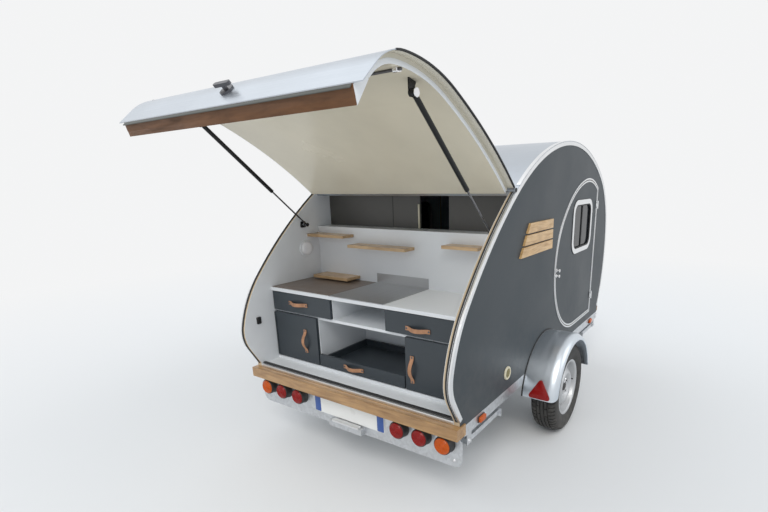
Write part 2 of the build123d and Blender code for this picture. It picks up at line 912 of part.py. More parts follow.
handle_lift = hatch_lift + sheet
handle_place = opened(*inset_node(last_node - 1, -handle_lift))
handle_ahead = opened(*inset_node(last_node - 1, -handle_lift - 1))
handle_plane = Plane(
    origin=(at(handle_place[0]), 0, handle_place[1]),
    x_dir=(0, 1, 0),
    z_dir=(handle_ahead[0] - handle_place[0], 0, handle_ahead[1] - handle_place[1]),
)
with BuildPart() as hatch_handle:
    with BuildSketch(handle_plane):
        Circle(29)
    extrude(amount=7)
    with BuildSketch(handle_plane.offset(7)):
        Circle(9)
    extrude(amount=14)
    with BuildSketch(handle_plane.offset(21)):
        RectangleRounded(96, 18, 8)
    extrude(amount=13)
save(hatch_handle, "hatch_handle")

# Gas struts between the hatch and the galley's side walls
strut_y = 664
strut_top_closed = (-9, 862)
strut_foot = (384, 1311)
tube_radius = 11
rod_radius = 5
tube_length = 520
strut_top = opened(*strut_top_closed)
strut_length = math.dist(strut_top, strut_foot)
strut_direction = Vector(
    (strut_foot[0] - strut_top[0]) / strut_length, 0, (strut_foot[1] - strut_top[1]) / strut_length
)

for side, name in side_names:
    top = Vector(at(strut_top[0]), side * strut_y, strut_top[1])
    with BuildPart() as strut_tube:
        with BuildSketch(Plane(origin=top + strut_direction * 14, z_dir=strut_direction)):
            Circle(tube_radius)
            Circle(rod_radius + 0.05, mode=Mode.SUBTRACT)
        extrude(amount=tube_length - 14)
        with BuildSketch(side_plane(side * strut_y)):
            with Locations(strut_top):
                Circle(15)
                Circle(6.3, mode=Mode.SUBTRACT)
        extrude(amount=7, both=True)
    save(strut_tube, f"strut_tube_{name}")
    with BuildPart() as strut_rod:
        rod_start = top + strut_direction * (tube_length - 230)
        with BuildSketch(Plane(origin=rod_start, z_dir=strut_direction)):
            Circle(rod_radius)
        extrude(amount=strut_length - (tube_length - 230) - 8)
        with BuildSketch(side_plane(side * strut_y)):
            with Locations(strut_foot):
                Circle(10)
        extrude(amount=6, both=True)
    save(strut_rod, f"strut_rod_{name}")

with BuildPart() as strut_studs:
    for side in (-1, 1):
        with BuildSketch(side_plane(side * inner_half)):
            with Locations(strut_foot):
                Circle(8)
        extrude(amount=side * 24)
save(strut_studs, "strut_studs")

with BuildPart() as strut_brackets:
    for side in (-1, 1):
        with BuildSketch(hatch_plane(side * (strut_y - 12))):
            with Locations(strut_top_closed):
                Circle(6)
        extrude(amount=-side * 24)
        with BuildSketch(hatch_plane(side * (strut_y - 16))):
            with Locations(strut_top_closed):
                Circle(13)
            with BuildLine():
                Polyline(
                    (strut_top_closed[0] - 51.9, strut_top_closed[1] + 0.1),
                    (strut_top_closed[0] - 32.3, strut_top_closed[1] + 40.2),
                    (strut_top_closed[0] + 6, strut_top_closed[1] + 11),
                    (strut_top_closed[0] - 6, strut_top_closed[1] - 11),
                    close=True,
                )
            make_face()
        extrude(amount=-side * 6)
save(strut_brackets, "strut_brackets")

# Cabin doors with window frames, glass, hinge leaves and two latch knobs each
knob_places = [(1203, 998), (1203, 962)]
# Radius and length of a knob's foot, neck and head, from the door outwards
knob_steps = [(11, 3), (6, 12), (10, 9)]
window_middle = ((1489 + 1953) / 2, (1058 + 1429) / 2)
window_size = (464, 371)
window_cut = (424, 331)
glass_size = (398, 305)
door_thickness = 30

for side, name in side_names:
    with BuildPart() as door:
        with BuildSketch(side_plane(side * half_width)):
            add(door_shape(0))
            with Locations(window_middle):
                RectangleRounded(*window_cut, 74, mode=Mode.SUBTRACT)
        extrude(amount=side * door_thickness)
    save(door, f"door_{name}")
    with BuildPart() as door_trim:
        with BuildSketch(side_plane(side * half_width)):
            add(door_shape(0))
            add(door_shape(-trim_width), mode=Mode.SUBTRACT)
        extrude(amount=-side * trim_depth)
        with BuildSketch(side_plane(side * half_width)):
            with Locations(window_middle):
                RectangleRounded(*window_size, 92)
                RectangleRounded(*glass_size, 62, mode=Mode.SUBTRACT)
        extrude(amount=-side * 5)
        with BuildSketch(side_plane(side * half_width)):
            with Locations(window_middle):
                RectangleRounded(*window_cut, 74)
                RectangleRounded(*glass_size, 62, mode=Mode.SUBTRACT)
        extrude(amount=side * door_thickness)
        for station, height in knob_places:
            reach = half_width
            for radius, length in knob_steps:
                with Locations((at(station), side * (reach + length / 2), height)):
                    Cylinder(radius, length, rotation=(90, 0, 0))
                reach += length
        hinge_leaves(side, -1, [door_span])
        hinge_knuckles(side, [door_span], knuckle_radius)
        hinge_knuckles(side, [door_span], pin_radius + 0.05, Mode.SUBTRACT)
    save(door_trim, f"door_trim_{name}")
    with BuildPart() as window_glass:
        with BuildSketch(side_plane(side * (half_width - 8))):
            with Locations(window_middle):
                RectangleRounded(*glass_size, 62)
        extrude(amount=side * 4)
    save(window_glass, f"window_glass_{name}")

# Corner stands, folded up under the rails: channels open below, with a foot plate at the free end
stand_sheet = 3
stand_solid = 45
foot_plate = (5, 56, 46)
for end, (station, way) in zip(("rear", "front"), stand_stations):
    for side, name in side_names:
        with BuildPart() as stand:
            near = station - way * stand_half
            low = min(near, station + way * stand_length)
            block(
                (low, side * stand_y - stand_half, stand_pivot_height - stand_half),
                (low + stand_length + stand_half, side * stand_y + stand_half, stand_pivot_height + stand_half),
            )
            hollow = min(station + way * stand_solid, station + way * stand_length)
            block(
                (hollow, side * stand_y - stand_half + stand_sheet, stand_pivot_height - stand_half),
                (
                    hollow + stand_length - stand_solid,
                    side * stand_y + stand_half - stand_sheet,
                    stand_pivot_height + stand_half - stand_sheet,
                ),
                mode=Mode.SUBTRACT,
            )
            with Locations((at(station + way * (stand_length + foot_plate[0] / 2)), side * stand_y, stand_pivot_height)):
                Box(*foot_plate)
            with BuildSketch(side_plane(side * stand_y)):
                with Locations((station, stand_pivot_height)):
                    Circle(stand_pin_radius + 0.05)
            extrude(amount=stand_half, both=True, mode=Mode.SUBTRACT)
        save(stand, f"stand_{end}_{name}")

# Jockey wheel: mast in the clamp, swivelling fork, wheel
jockey_wheel_radius = 100
jockey_wheel_width = 50
jockey_trail = 22
fork_top = 216
mast_top = 640
crank_reach = 102
crank_grip = 80

with BuildPart() as jockey_mast:
    with BuildSketch(Plane.XY.offset(fork_top + 1)):
        with Locations((at(jockey_station), jockey_y)):
            Circle(mast_radius)
    extrude(amount=mast_top - fork_top)
    with Locations((at(jockey_station), jockey_y, mast_top + 8)):
        Cylinder(mast_radius + 4, 14)
    with BuildSketch(Plane.XY.offset(mast_top + 15)):
        with Locations((at(jockey_station) + crank_reach / 2, jockey_y)):
            SlotCenterToCenter(crank_reach, 22)
    extrude(amount=7)
    with Locations((at(jockey_station) + crank_reach, jockey_y, mast_top + 21 + crank_grip / 2)):
        Cylinder(9, crank_grip)
save(jockey_mast, "jockey_mast")

fork_half = jockey_wheel_width / 2 + 6
with BuildPart() as jockey_fork:
    block((jockey_station - 30, jockey_y - fork_half - 5, fork_top - 5), (jockey_station + 30, jockey_y + fork_half + 5, fork_top))
    for low_y in (jockey_y - fork_half - 5, jockey_y + fork_half):
        with BuildSketch(side_plane(low_y)):
            with BuildLine():
                Polyline(
                    (jockey_station - 30, fork_top),
                    (jockey_station - jockey_trail - 20, jockey_wheel_radius),
                    (jockey_station - jockey_trail + 20, jockey_wheel_radius),
                    (jockey_station + 30, fork_top - 20),
                    (jockey_station + 30, fork_top),
                    close=True,
                )
            make_face()
            with Locations((jockey_station - jockey_trail, jockey_wheel_radius)):
                Circle(20)
        extrude(amount=-5)
    with BuildSketch(side_plane(jockey_y)):
        with Locations((jockey_station - jockey_trail, jockey_wheel_radius)):
            Circle(8)
    extrude(amount=fork_half, both=True)
save(jockey_fork, "jockey_fork")

# Half of the wheel's section: x from its middle, radius; hub, web, rim and tyre
jockey_half = jockey_wheel_width / 2
jockey_section = [(8.05, 0), (8.05, 25), (18, 25), (20, 8), (60, 8), (64, 20), (78, 22), (94, 20), (100, 13), (100, 0)]
jockey_axle = Plane(
    origin=(at(jockey_station - jockey_trail), jockey_y, jockey_wheel_radius),
    x_dir=(1, 0, 0),
    z_dir=(0, 0, 1),
)

with BuildPart() as jockey_wheel:
    with BuildSketch(jockey_axle):
        with BuildLine():
            mirrored = [(radius, -x) for radius, x in reversed(jockey_section[1:-1])]
            Polyline(*jockey_section, *mirrored, close=True)
        make_face()
    revolve(axis=Axis(jockey_axle.origin, (0, 1, 0)), revolution_arc=360)
save(jockey_wheel, "jockey_wheel")
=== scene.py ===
import bpy
import math
from mathutils import Matrix, Vector


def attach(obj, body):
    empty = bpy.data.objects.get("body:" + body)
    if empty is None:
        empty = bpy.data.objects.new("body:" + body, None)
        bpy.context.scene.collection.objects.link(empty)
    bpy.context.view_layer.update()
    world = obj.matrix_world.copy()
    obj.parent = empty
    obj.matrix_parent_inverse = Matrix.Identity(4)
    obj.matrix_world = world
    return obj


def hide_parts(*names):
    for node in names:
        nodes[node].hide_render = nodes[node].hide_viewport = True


# Teardrop camping trailer. The frame's metres: +X forward, +Y left, Z = 0 on the ground.
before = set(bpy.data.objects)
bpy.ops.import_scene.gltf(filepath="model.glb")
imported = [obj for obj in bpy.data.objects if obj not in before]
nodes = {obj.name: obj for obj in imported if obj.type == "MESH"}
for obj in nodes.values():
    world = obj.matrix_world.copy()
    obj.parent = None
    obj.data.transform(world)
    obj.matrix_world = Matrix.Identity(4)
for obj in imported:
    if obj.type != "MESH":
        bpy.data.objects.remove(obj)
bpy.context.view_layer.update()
bpy.ops.object.select_all(action="DESELECT")
print("stage: frame loaded")

# Camera: the viewing angle of the photograph's right half
cameraSetup = {
    "place": (-3.1565, -1.6965, 1.5543),
    "right": (0.54729, -0.8368, -0.01554),
    "down": (-0.23092, -0.13312, -0.96382),
    "focalPixels": 461.2,
    "pictureWidth": 768,
    "shiftPixels": (-50, 55),
}
cameraData = bpy.data.cameras.new("sceneCamera")
camera = bpy.data.objects.new("sceneCamera", cameraData)
bpy.context.scene.collection.objects.link(camera)
cameraRight = Vector(cameraSetup["right"]).normalized()
cameraUp = -Vector(cameraSetup["down"]).normalized()
cameraTurn = Matrix((cameraRight, cameraUp, cameraRight.cross(cameraUp))).transposed()
camera.matrix_world = Matrix.Translation(cameraSetup["place"]) @ cameraTurn.to_4x4()
cameraData.sensor_width = 36
cameraData.lens = 36 * cameraSetup["focalPixels"] / cameraSetup["pictureWidth"]
cameraData.shift_x, cameraData.shift_y = [p / cameraSetup["pictureWidth"] for p in cameraSetup["shiftPixels"]]
bpy.context.scene.camera = camera
bpy.context.scene.view_settings.view_transform = "Standard"


# Shader helpers: a node with its inputs linked or set, a sum, a range and a mix
def addNode(tree, kind, links=(), **settings):
    node = tree.nodes.new(kind)
    for key, value in settings.items():
        setattr(node, key, value)
    for socket, source in links:
        if hasattr(source, "is_linked"):
            tree.links.new(source, node.inputs[socket])
        else:
            node.inputs[socket].default_value = source
    return node


def calculate(tree, operation, *values, clamp=False):
    node = addNode(tree, "ShaderNodeMath", enumerate(values), operation=operation, use_clamp=clamp)
    return node.outputs[0]


def mapRange(tree, value, low, high, toLow, toHigh):
    links = [("Value", value), ("From Min", low), ("From Max", high), ("To Min", toLow), ("To Max", toHigh)]
    return addNode(tree, "ShaderNodeMapRange", links).outputs["Result"]


def mixColor(tree, factor, first, second):
    return addNode(tree, "ShaderNodeMix", [(0, factor), (6, first), (7, second)], data_type="RGBA").outputs[2]


# Studio: pale floor, even sky and soft lamps
studio = {
    "floorSize": 60,
    "floorHeight": -0.0005,
    "floorColor": (0.78, 0.78, 0.77, 1),
    "floorFade": (2.5, 7.5),
    "skyColor": (0.82, 0.88, 0.96, 1),
    "skyStrength": 0.72,
    "seenColor": (0.90, 0.905, 0.91, 1),
    # name, direction that it stands in, apparent width in degrees, strength, colour
    "lamps": [
        ("keyLamp", (-5.5, -3.0, 6.5), 35, 1.15, (1.0, 0.975, 0.94)),
        ("sideLamp", (2.5, -6.0, 4.2), 40, 0.45, (0.96, 0.98, 1.0)),
        ("topLamp", (-1.0, 3.5, 6.0), 60, 0.50, (0.95, 0.98, 1.0)),
    ],
}


def addFloor():
    bpy.ops.mesh.primitive_plane_add(size=studio["floorSize"], location=(0, 0, studio["floorHeight"]))
    floor = bpy.context.object
    floor.name = "studioFloor"
    material = bpy.data.materials.new("floorPaper")
    material.use_nodes = True
    tree = material.node_tree
    shader = tree.nodes["Principled BSDF"]
    shader.inputs["Base Color"].default_value = studio["floorColor"]
    shader.inputs["Roughness"].default_value = 0.9
    far = addNode(tree, "ShaderNodeEmission", [("Color", studio["seenColor"])]).outputs[0]
    place = addNode(tree, "ShaderNodeTexCoord").outputs["Object"]
    reach = addNode(tree, "ShaderNodeVectorMath", [(0, place)], operation="LENGTH").outputs["Value"]
    fade = mapRange(tree, reach, *studio["floorFade"], 0, 1)
    blend = addNode(tree, "ShaderNodeMixShader", [(0, fade), (1, shader.outputs[0]), (2, far)])
    tree.links.new(blend.outputs[0], tree.nodes["Material Output"].inputs["Surface"])
    floor.data.materials.append(material)


def addLamps():
    for name, place, width, strength, color in studio["lamps"]:
        lampData = bpy.data.lights.new(name, "SUN")
        lampData.angle = math.radians(width)
        lampData.energy = strength
        lampData.color = color
        lamp = bpy.data.objects.new(name, lampData)
        lamp.location = place
        lamp.rotation_euler = (-Vector(place)).to_track_quat("-Z", "Y").to_euler()
        bpy.context.scene.collection.objects.link(lamp)


# The sky lights the object at one strength and is seen, also in metal and glass, at another
def addSky():
    world = bpy.data.worlds.new("studioSky")
    bpy.context.scene.world = world
    world.use_nodes = True
    tree = world.node_tree
    tree.nodes.clear()
    light = [("Color", studio["skyColor"]), ("Strength", studio["skyStrength"])]
    lit = addNode(tree, "ShaderNodeBackground", light).outputs[0]
    seen = addNode(tree, "ShaderNodeBackground", [("Color", studio["seenColor"]), ("Strength", 1)]).outputs[0]
    rays = addNode(tree, "ShaderNodeLightPath").outputs
    direct = calculate(tree, "ADD", rays["Is Camera Ray"], rays["Is Glossy Ray"], clamp=True)
    showing = calculate(tree, "ADD", direct, rays["Is Transmission Ray"], clamp=True)
    mix = addNode(tree, "ShaderNodeMixShader", [(0, showing), (1, lit), (2, seen)]).outputs[0]
    addNode(tree, "ShaderNodeOutputWorld", [("Surface", mix)])


addFloor()
addLamps()
addSky()
print("stage: studio ready")


# Shared surface effects, each one node group
def newGroup(name, inputs, outputs):
    group = bpy.data.node_groups.new(name, "ShaderNodeTree")
    for label, kind, value in inputs:
        group.interface.new_socket(name=label, in_out="INPUT", socket_type=kind).default_value = value
    for label, kind in outputs:
        group.interface.new_socket(name=label, in_out="OUTPUT", socket_type=kind)
    return group, group.nodes.new("NodeGroupInput").outputs, group.nodes.new("NodeGroupOutput").inputs


floatSocket, colorSocket, vectorSocket = "NodeSocketFloat", "NodeSocketColor", "NodeSocketVector"
evenStretch = (1, 1, 1)


def stretchedNoise(tree, stretch, scale, detail=4, distortion=0.0, rough=0.55):
    place = addNode(tree, "ShaderNodeTexCoord").outputs["Object"]
    stretched = addNode(tree, "ShaderNodeVectorMath", [(0, place), (1, stretch)], operation="MULTIPLY")
    links = [("Vector", stretched.outputs[0]), ("Scale", scale), ("Detail", detail),
             ("Distortion", distortion), ("Roughness", rough)]
    return addNode(tree, "ShaderNodeTexNoise", links).outputs["Fac"]


# A colour made lighter and darker by a value that swings between -1 and 1
def shaded(tree, color, swing, amount):
    brightness = calculate(tree, "MULTIPLY_ADD", swing, amount, 1.0)
    return addNode(tree, "ShaderNodeHueSaturation", [("Color", color), ("Value", brightness)]).outputs[0]


def buildMottle():
    group, given, out = newGroup(
        "softMottle",
        [("Color", colorSocket, (0.5, 0.5, 0.5, 1)), ("Variation", floatSocket, 0.1),
         ("Scale", floatSocket, 6)],
        [("Color", colorSocket), ("Value", floatSocket)],
    )
    noise = stretchedNoise(group, evenStretch, given["Scale"], detail=5)
    swing = mapRange(group, noise, 0.3, 0.7, -1, 1)
    group.links.new(shaded(group, given["Color"], swing, given["Variation"]), out["Color"])
    group.links.new(noise, out["Value"])
    return group


def buildDust():
    group, given, out = newGroup(
        "roadDust",
        [("Color", colorSocket, (0.5, 0.5, 0.5, 1)), ("Dust", colorSocket, (0.42, 0.38, 0.32, 1)),
         ("Top", floatSocket, 0.6), ("Amount", floatSocket, 0.3)],
        [("Color", colorSocket), ("Mask", floatSocket)],
    )
    place = addNode(group, "ShaderNodeTexCoord").outputs["Object"]
    height = addNode(group, "ShaderNodeSeparateXYZ", [(0, place)]).outputs["Z"]
    fade = mapRange(group, height, 0.0, given["Top"], 1, 0)
    specks = mapRange(group, stretchedNoise(group, evenStretch, 22, detail=8), 0.35, 0.7, 0.15, 1)
    mask = calculate(group, "MULTIPLY", calculate(group, "MULTIPLY", fade, specks), given["Amount"])
    group.links.new(mixColor(group, mask, given["Color"], given["Dust"]), out["Color"])
    group.links.new(mask, out["Mask"])
    return group


def buildGrain():
    group, given, out = newGroup(
        "woodGrain",
        [("Light", colorSocket, (0.6, 0.4, 0.2, 1)), ("Dark", colorSocket, (0.3, 0.15, 0.06, 1)),
         ("Stretch", vectorSocket, (1, 1, 1)), ("Figure", floatSocket, 1)],
        [("Color", colorSocket), ("Height", floatSocket)],
    )
    fine = stretchedNoise(group, given["Stretch"], 5.0, detail=8, distortion=0.6, rough=0.62)
    broad = stretchedNoise(group, given["Stretch"], given["Figure"], detail=3, distortion=2.2)
    wave = calculate(group, "SINE", calculate(group, "MULTIPLY", broad, 9.0))
    bands = mapRange(group, wave, -1, 1, 0, 0.55)
    pores = mapRange(group, fine, 0.38, 0.66, 0, 0.6)
    total = calculate(group, "ADD", bands, pores, clamp=True)
    group.links.new(mixColor(group, total, given["Light"], given["Dark"]), out["Color"])
    group.links.new(total, out["Height"])
    return group


def buildLines():
    group, given, out = newGroup(
        "millLines", [("Stretch", vectorSocket, (1, 1, 1)), ("Spread", floatSocket, 0.1)],
        [("Rough", floatSocket), ("Height", floatSocket)],
    )
    streaks = stretchedNoise(group, given["Stretch"], 1.0, detail=3)
    swing = calculate(group, "MULTIPLY", mapRange(group, streaks, 0.3, 0.7, -1, 1), given["Spread"])
    group.links.new(swing, out["Rough"])
    group.links.new(streaks, out["Height"])
    return group


def buildFlakes():
    group, given, out = newGroup(
        "zincFlakes",
        [("Color", colorSocket, (0.6, 0.6, 0.6, 1)), ("Scale", floatSocket, 60),
         ("Contrast", floatSocket, 0.12)],
        [("Color", colorSocket), ("Shade", floatSocket)],
    )
    place = addNode(group, "ShaderNodeTexCoord").outputs["Object"]
    cells = addNode(group, "ShaderNodeTexVoronoi", [("Vector", place), ("Scale", given["Scale"])])
    shade = addNode(group, "ShaderNodeSeparateColor", [(0, cells.outputs["Color"])]).outputs[0]
    swing = mapRange(group, shade, 0, 1, -1, 1)
    group.links.new(shaded(group, given["Color"], swing, given["Contrast"]), out["Color"])
    group.links.new(shade, out["Shade"])
    return group


def buildPebble():
    group, given, out = newGroup("pebbleGrain", [("Scale", floatSocket, 300)], [("Height", floatSocket)])
    group.links.new(stretchedNoise(group, evenStretch, given["Scale"], detail=2), out["Height"])
    return group


mottle, dust, grain = buildMottle(), buildDust(), buildGrain()
millLines, flakes, pebble = buildLines(), buildFlakes(), buildPebble()


def useGroup(tree, group, **values):
    node = tree.nodes.new("ShaderNodeGroup")
    node.node_tree = group
    for label, value in values.items():
        if hasattr(value, "is_linked"):
            tree.links.new(value, node.inputs[label])
        else:
            node.inputs[label].default_value = value
    return node.outputs


def rgb(color):
    return (*color, 1)


def startMaterial(name, metallic=0.0, plain=()):
    material = bpy.data.materials.new(name)
    material.use_nodes = True
    tree = material.node_tree
    shader = tree.nodes["Principled BSDF"]
    shader.inputs["Metallic"].default_value = metallic
    for label, value in dict(plain).items():
        shader.inputs[label].default_value = value
    return material, tree, shader


def addBump(tree, shader, height, strength, distance):
    links = [("Height", height), ("Strength", strength), ("Distance", distance)]
    tree.links.new(addNode(tree, "ShaderNodeBump", links).outputs[0], shader.inputs["Normal"])


# A painted, moulded or rubber surface: mottled colour, dust low down, uneven gloss, fine pebbling
def coated(name, color, roughness, metallic=0.0, variation=0.05, patch=5, dustAmount=0.0, dustTop=0.6,
           bump=0.12, bumpScale=350, spread=0.06, plain=()):
    material, tree, shader = startMaterial(name, metallic, plain)
    base = useGroup(tree, mottle, Color=rgb(color), Variation=variation, Scale=patch)
    top = base["Color"]
    if dustAmount:
        top = useGroup(tree, dust, Color=top, Top=dustTop, Amount=dustAmount)["Color"]
    tree.links.new(top, shader.inputs["Base Color"])
    gloss = mapRange(tree, base["Value"], 0.3, 0.7, roughness - spread, roughness + spread)
    tree.links.new(gloss, shader.inputs["Roughness"])
    if bump:
        addBump(tree, shader, useGroup(tree, pebble, Scale=bumpScale)["Height"], bump, 0.0006)
    return material


def timber(name, light, dark, stretch, figure, roughness=0.38, dustAmount=0.0, coat=0.35):
    material, tree, shader = startMaterial(name, 0.0, {"Coat Weight": coat, "Coat Roughness": 0.25})
    wood = useGroup(tree, grain, Light=rgb(light), Dark=rgb(dark), Stretch=stretch, Figure=figure)
    patched = useGroup(tree, mottle, Color=wood["Color"], Variation=0.14, Scale=7)
    top = useGroup(tree, dust, Color=patched["Color"], Top=0.6, Amount=dustAmount)["Color"]
    tree.links.new(top, shader.inputs["Base Color"])
    gloss = mapRange(tree, wood["Height"], 0, 1, roughness - 0.08, roughness + 0.16)
    tree.links.new(gloss, shader.inputs["Roughness"])
    addBump(tree, shader, wood["Height"], 0.25, 0.0008)
    return material


# Bare metal: mottled or in zinc flakes, with fine mill lines and, on a large sheet, broad waves
def metal(name, color, roughness, stretch=evenStretch, spread=0.08, flakeContrast=0.0, flakeScale=55,
          waves=0.0, dustAmount=0.0, bump=0.06):
    material, tree, shader = startMaterial(name, 1.0)
    if flakeContrast:
        zinc = useGroup(tree, flakes, Color=rgb(color), Scale=flakeScale, Contrast=flakeContrast)
        base = zinc["Color"]
    else:
        base = useGroup(tree, mottle, Color=rgb(color), Variation=0.04, Scale=3)["Color"]
    if dustAmount:
        base = useGroup(tree, dust, Color=base, Top=0.7, Amount=dustAmount)["Color"]
    tree.links.new(base, shader.inputs["Base Color"])
    mill = useGroup(tree, millLines, Stretch=stretch, Spread=spread)
    gloss = calculate(tree, "ADD", mill["Rough"], roughness)
    if flakeContrast:
        gloss = calculate(tree, "ADD", gloss, mapRange(tree, zinc["Shade"], 0, 1, -0.07, 0.07))
    tree.links.new(gloss, shader.inputs["Roughness"])
    height = mill["Height"]
    if waves:
        broad = stretchedNoise(tree, evenStretch, 2.2, detail=1)
        height = calculate(tree, "ADD", height, calculate(tree, "MULTIPLY", broad, waves))
    addBump(tree, shader, height, bump, 0.001)
    return material


plyEdge = {"stripes": 1400.0, "light": (0.66, 0.54, 0.38, 1), "dark": (0.46, 0.34, 0.20, 1)}


# A sheet panel whose outer face, inner face and ply edge differ, told apart by the distance from the middle
def panel(name, outside, inside, outerFace, innerFace, roughness):
    material, tree, shader = startMaterial(name, 0.0, {"Specular IOR Level": 0.38})
    place = addNode(tree, "ShaderNodeTexCoord").outputs["Object"]
    across = addNode(tree, "ShaderNodeSeparateXYZ", [(0, place)]).outputs["Y"]
    depth = calculate(tree, "ABSOLUTE", across)
    isOuter = calculate(tree, "GREATER_THAN", depth, outerFace)
    isInner = calculate(tree, "LESS_THAN", depth, innerFace)
    wave = calculate(tree, "SINE", calculate(tree, "MULTIPLY", depth, plyEdge["stripes"]))
    ply = mixColor(tree, mapRange(tree, wave, -1, 1, 0, 1), plyEdge["light"], plyEdge["dark"])
    face = mixColor(tree, isInner, ply, rgb(inside))
    face = mixColor(tree, isOuter, face, rgb(outside))
    base = useGroup(tree, mottle, Color=face, Variation=0.06, Scale=2.2)
    top = useGroup(tree, dust, Color=base["Color"], Top=0.95, Amount=0.12)["Color"]
    tree.links.new(top, shader.inputs["Base Color"])
    gloss = mapRange(tree, base["Value"], 0.3, 0.7, roughness - 0.05, roughness + 0.06)
    tree.links.new(gloss, shader.inputs["Roughness"])
    addBump(tree, shader, useGroup(tree, pebble, Scale=420)["Height"], 0.10, 0.0006)
    return material


anthracite, innerWhite = (0.029, 0.039, 0.047), (0.74, 0.76, 0.78)
lensPlain = {"Coat Weight": 0.3, "Coat Roughness": 0.05, "Specular IOR Level": 0.2}
look = {
    "wallPanel": panel("anthraciteWall", anthracite, innerWhite, 0.7335, 0.7015, 0.46),
    "doorPanel": panel("anthraciteDoor", anthracite, innerWhite, 0.7335, 0.7065, 0.46),
    "hatchLiner": panel("creamLiner", (0.62, 0.59, 0.50), (0.70, 0.65, 0.52), 0.6925, 0.6926, 0.22),
    "millSheet": metal("millAluminium", (0.51, 0.55, 0.60), 0.35, (170, 2.5, 170), 0.06,
                       waves=6.0, bump=0.07),
    "trimAlu": metal("trimAluminium", (0.78, 0.79, 0.80), 0.38, (8, 60, 8), 0.08),
    "zinc": metal("hotZinc", (0.60, 0.62, 0.645), 0.42, (5, 5, 5), 0.05, 0.10, 60, dustAmount=0.14),
    # The fenders' zinc is tinted blue as a painted sky reflection
    "fenderZincSkyTint": metal("rolledZincSkyTint", (0.64, 0.69, 0.74), 0.34, (2, 30, 2), 0.05, dustAmount=0.03),
    "chrome": metal("polishedSteel", (0.80, 0.80, 0.81), 0.14, (40, 40, 40), 0.03),
    "rodSteel": metal("rodSteel", (0.20, 0.20, 0.21), 0.20, (40, 40, 40), 0.03),
    "darkSteel": metal("darkSteel", (0.13, 0.13, 0.14), 0.38, (30, 30, 30), 0.06, dustAmount=0.15),
    "coverSteel": metal("brushedCover", (0.42, 0.43, 0.44), 0.34, (2, 180, 2), 0.06, bump=0.02),
    "wheelSilver": coated("wheelPaint", (0.52, 0.53, 0.54), 0.38, 0.5, 0.04, 9, 0.16, 0.5, 0.05, 500),
    "beamWood": timber("larchAcross", (0.45, 0.26, 0.105), (0.23, 0.115, 0.042), (7.0, 0.9, 7.0), 2.2,
                       dustAmount=0.10),
    # The hatch's timber is dark brown oak, darkened further as painted shade for the shade under the open
    # hatch
    "shadedHatchWood": timber("shadedOakAcross", (0.150, 0.058, 0.014), (0.070, 0.027, 0.006), (7.0, 0.9, 7.0), 2.2,
                        0.55, coat=0.0),
    "slatWood": timber("larchAlong", (0.62, 0.39, 0.16), (0.36, 0.19, 0.06), (1.2, 9.0, 9.0), 2.4),
    "shelfWood": timber("shelfPine", (0.60, 0.41, 0.22), (0.38, 0.22, 0.10), (9.0, 1.1, 9.0), 2.0),
    "whiteBoard": coated("whitePaint", (0.75, 0.77, 0.785), 0.36, variation=0.02, bump=0.06, bumpScale=220),
    "greyPanel": coated("taupePanel", (0.070, 0.067, 0.060), 0.40, variation=0.08, bump=0.06),
    "darkFront": coated("slateFront", (0.034, 0.043, 0.051), 0.40, variation=0.08, patch=3, bump=0.08,
                        bumpScale=300),
    "lidBoard": coated("walnutLid", (0.15, 0.115, 0.095), 0.34, variation=0.10, patch=12, bump=0.05),
    "blackPlastic": coated("blackMoulding", (0.018, 0.018, 0.019), 0.42, dustAmount=0.10, bump=0.10,
                           bumpScale=500),
    "blackRubber": coated("blackRubber", (0.014, 0.014, 0.015), 0.62, dustAmount=0.08, bump=0.15,
                          bumpScale=600),
    "greyRubber": coated("greyRubber", (0.085, 0.090, 0.080), 0.55, bump=0.10, bumpScale=500),
    "tyreRubber": coated("tyreRubber", (0.020, 0.020, 0.020), 0.70, variation=0.15, patch=14, dustAmount=0.14,
                         dustTop=0.65, bump=0.25, bumpScale=450),
    "blackPaint": coated("blackPaint", (0.008, 0.008, 0.009), 0.30, bump=0.02,
                         plain={"Specular IOR Level": 0.3}),
    "creamPlastic": coated("creamPlastic", (0.62, 0.57, 0.42), 0.40, bump=0.05, dustAmount=0.1),
    "brassMesh": coated("ventMesh", (0.33, 0.29, 0.15), 0.5, bump=0.4, bumpScale=260),
    "redLens": coated("redLens", (0.24, 0.003, 0.002), 0.30, bump=0.20, bumpScale=130, plain=lensPlain),
    "amberLens": coated("amberLens", (0.50, 0.082, 0.002), 0.30, bump=0.20, bumpScale=130, plain=lensPlain),
    "plateWhite": coated("plateWhite", (0.82, 0.82, 0.79), 0.30, bump=0.04, variation=0.02),
    "plateBlue": coated("plateBlue", (0.035, 0.095, 0.33), 0.30, bump=0.04),
    "leather": coated("tanLeather", (0.42, 0.21, 0.11), 0.48, variation=0.22, patch=26, bump=0.5,
                      bumpScale=420),
    "lampGlass": coated("opalGlass", (0.86, 0.86, 0.88), 0.12, variation=0.01, bump=0.0),
    "tintedGlass": coated("tintedGlass", (0.012, 0.014, 0.017), 0.05, variation=0.02, bump=0.0, spread=0.02,
                          plain={"Specular IOR Level": 0.22}),
}
print("stage: materials ready")

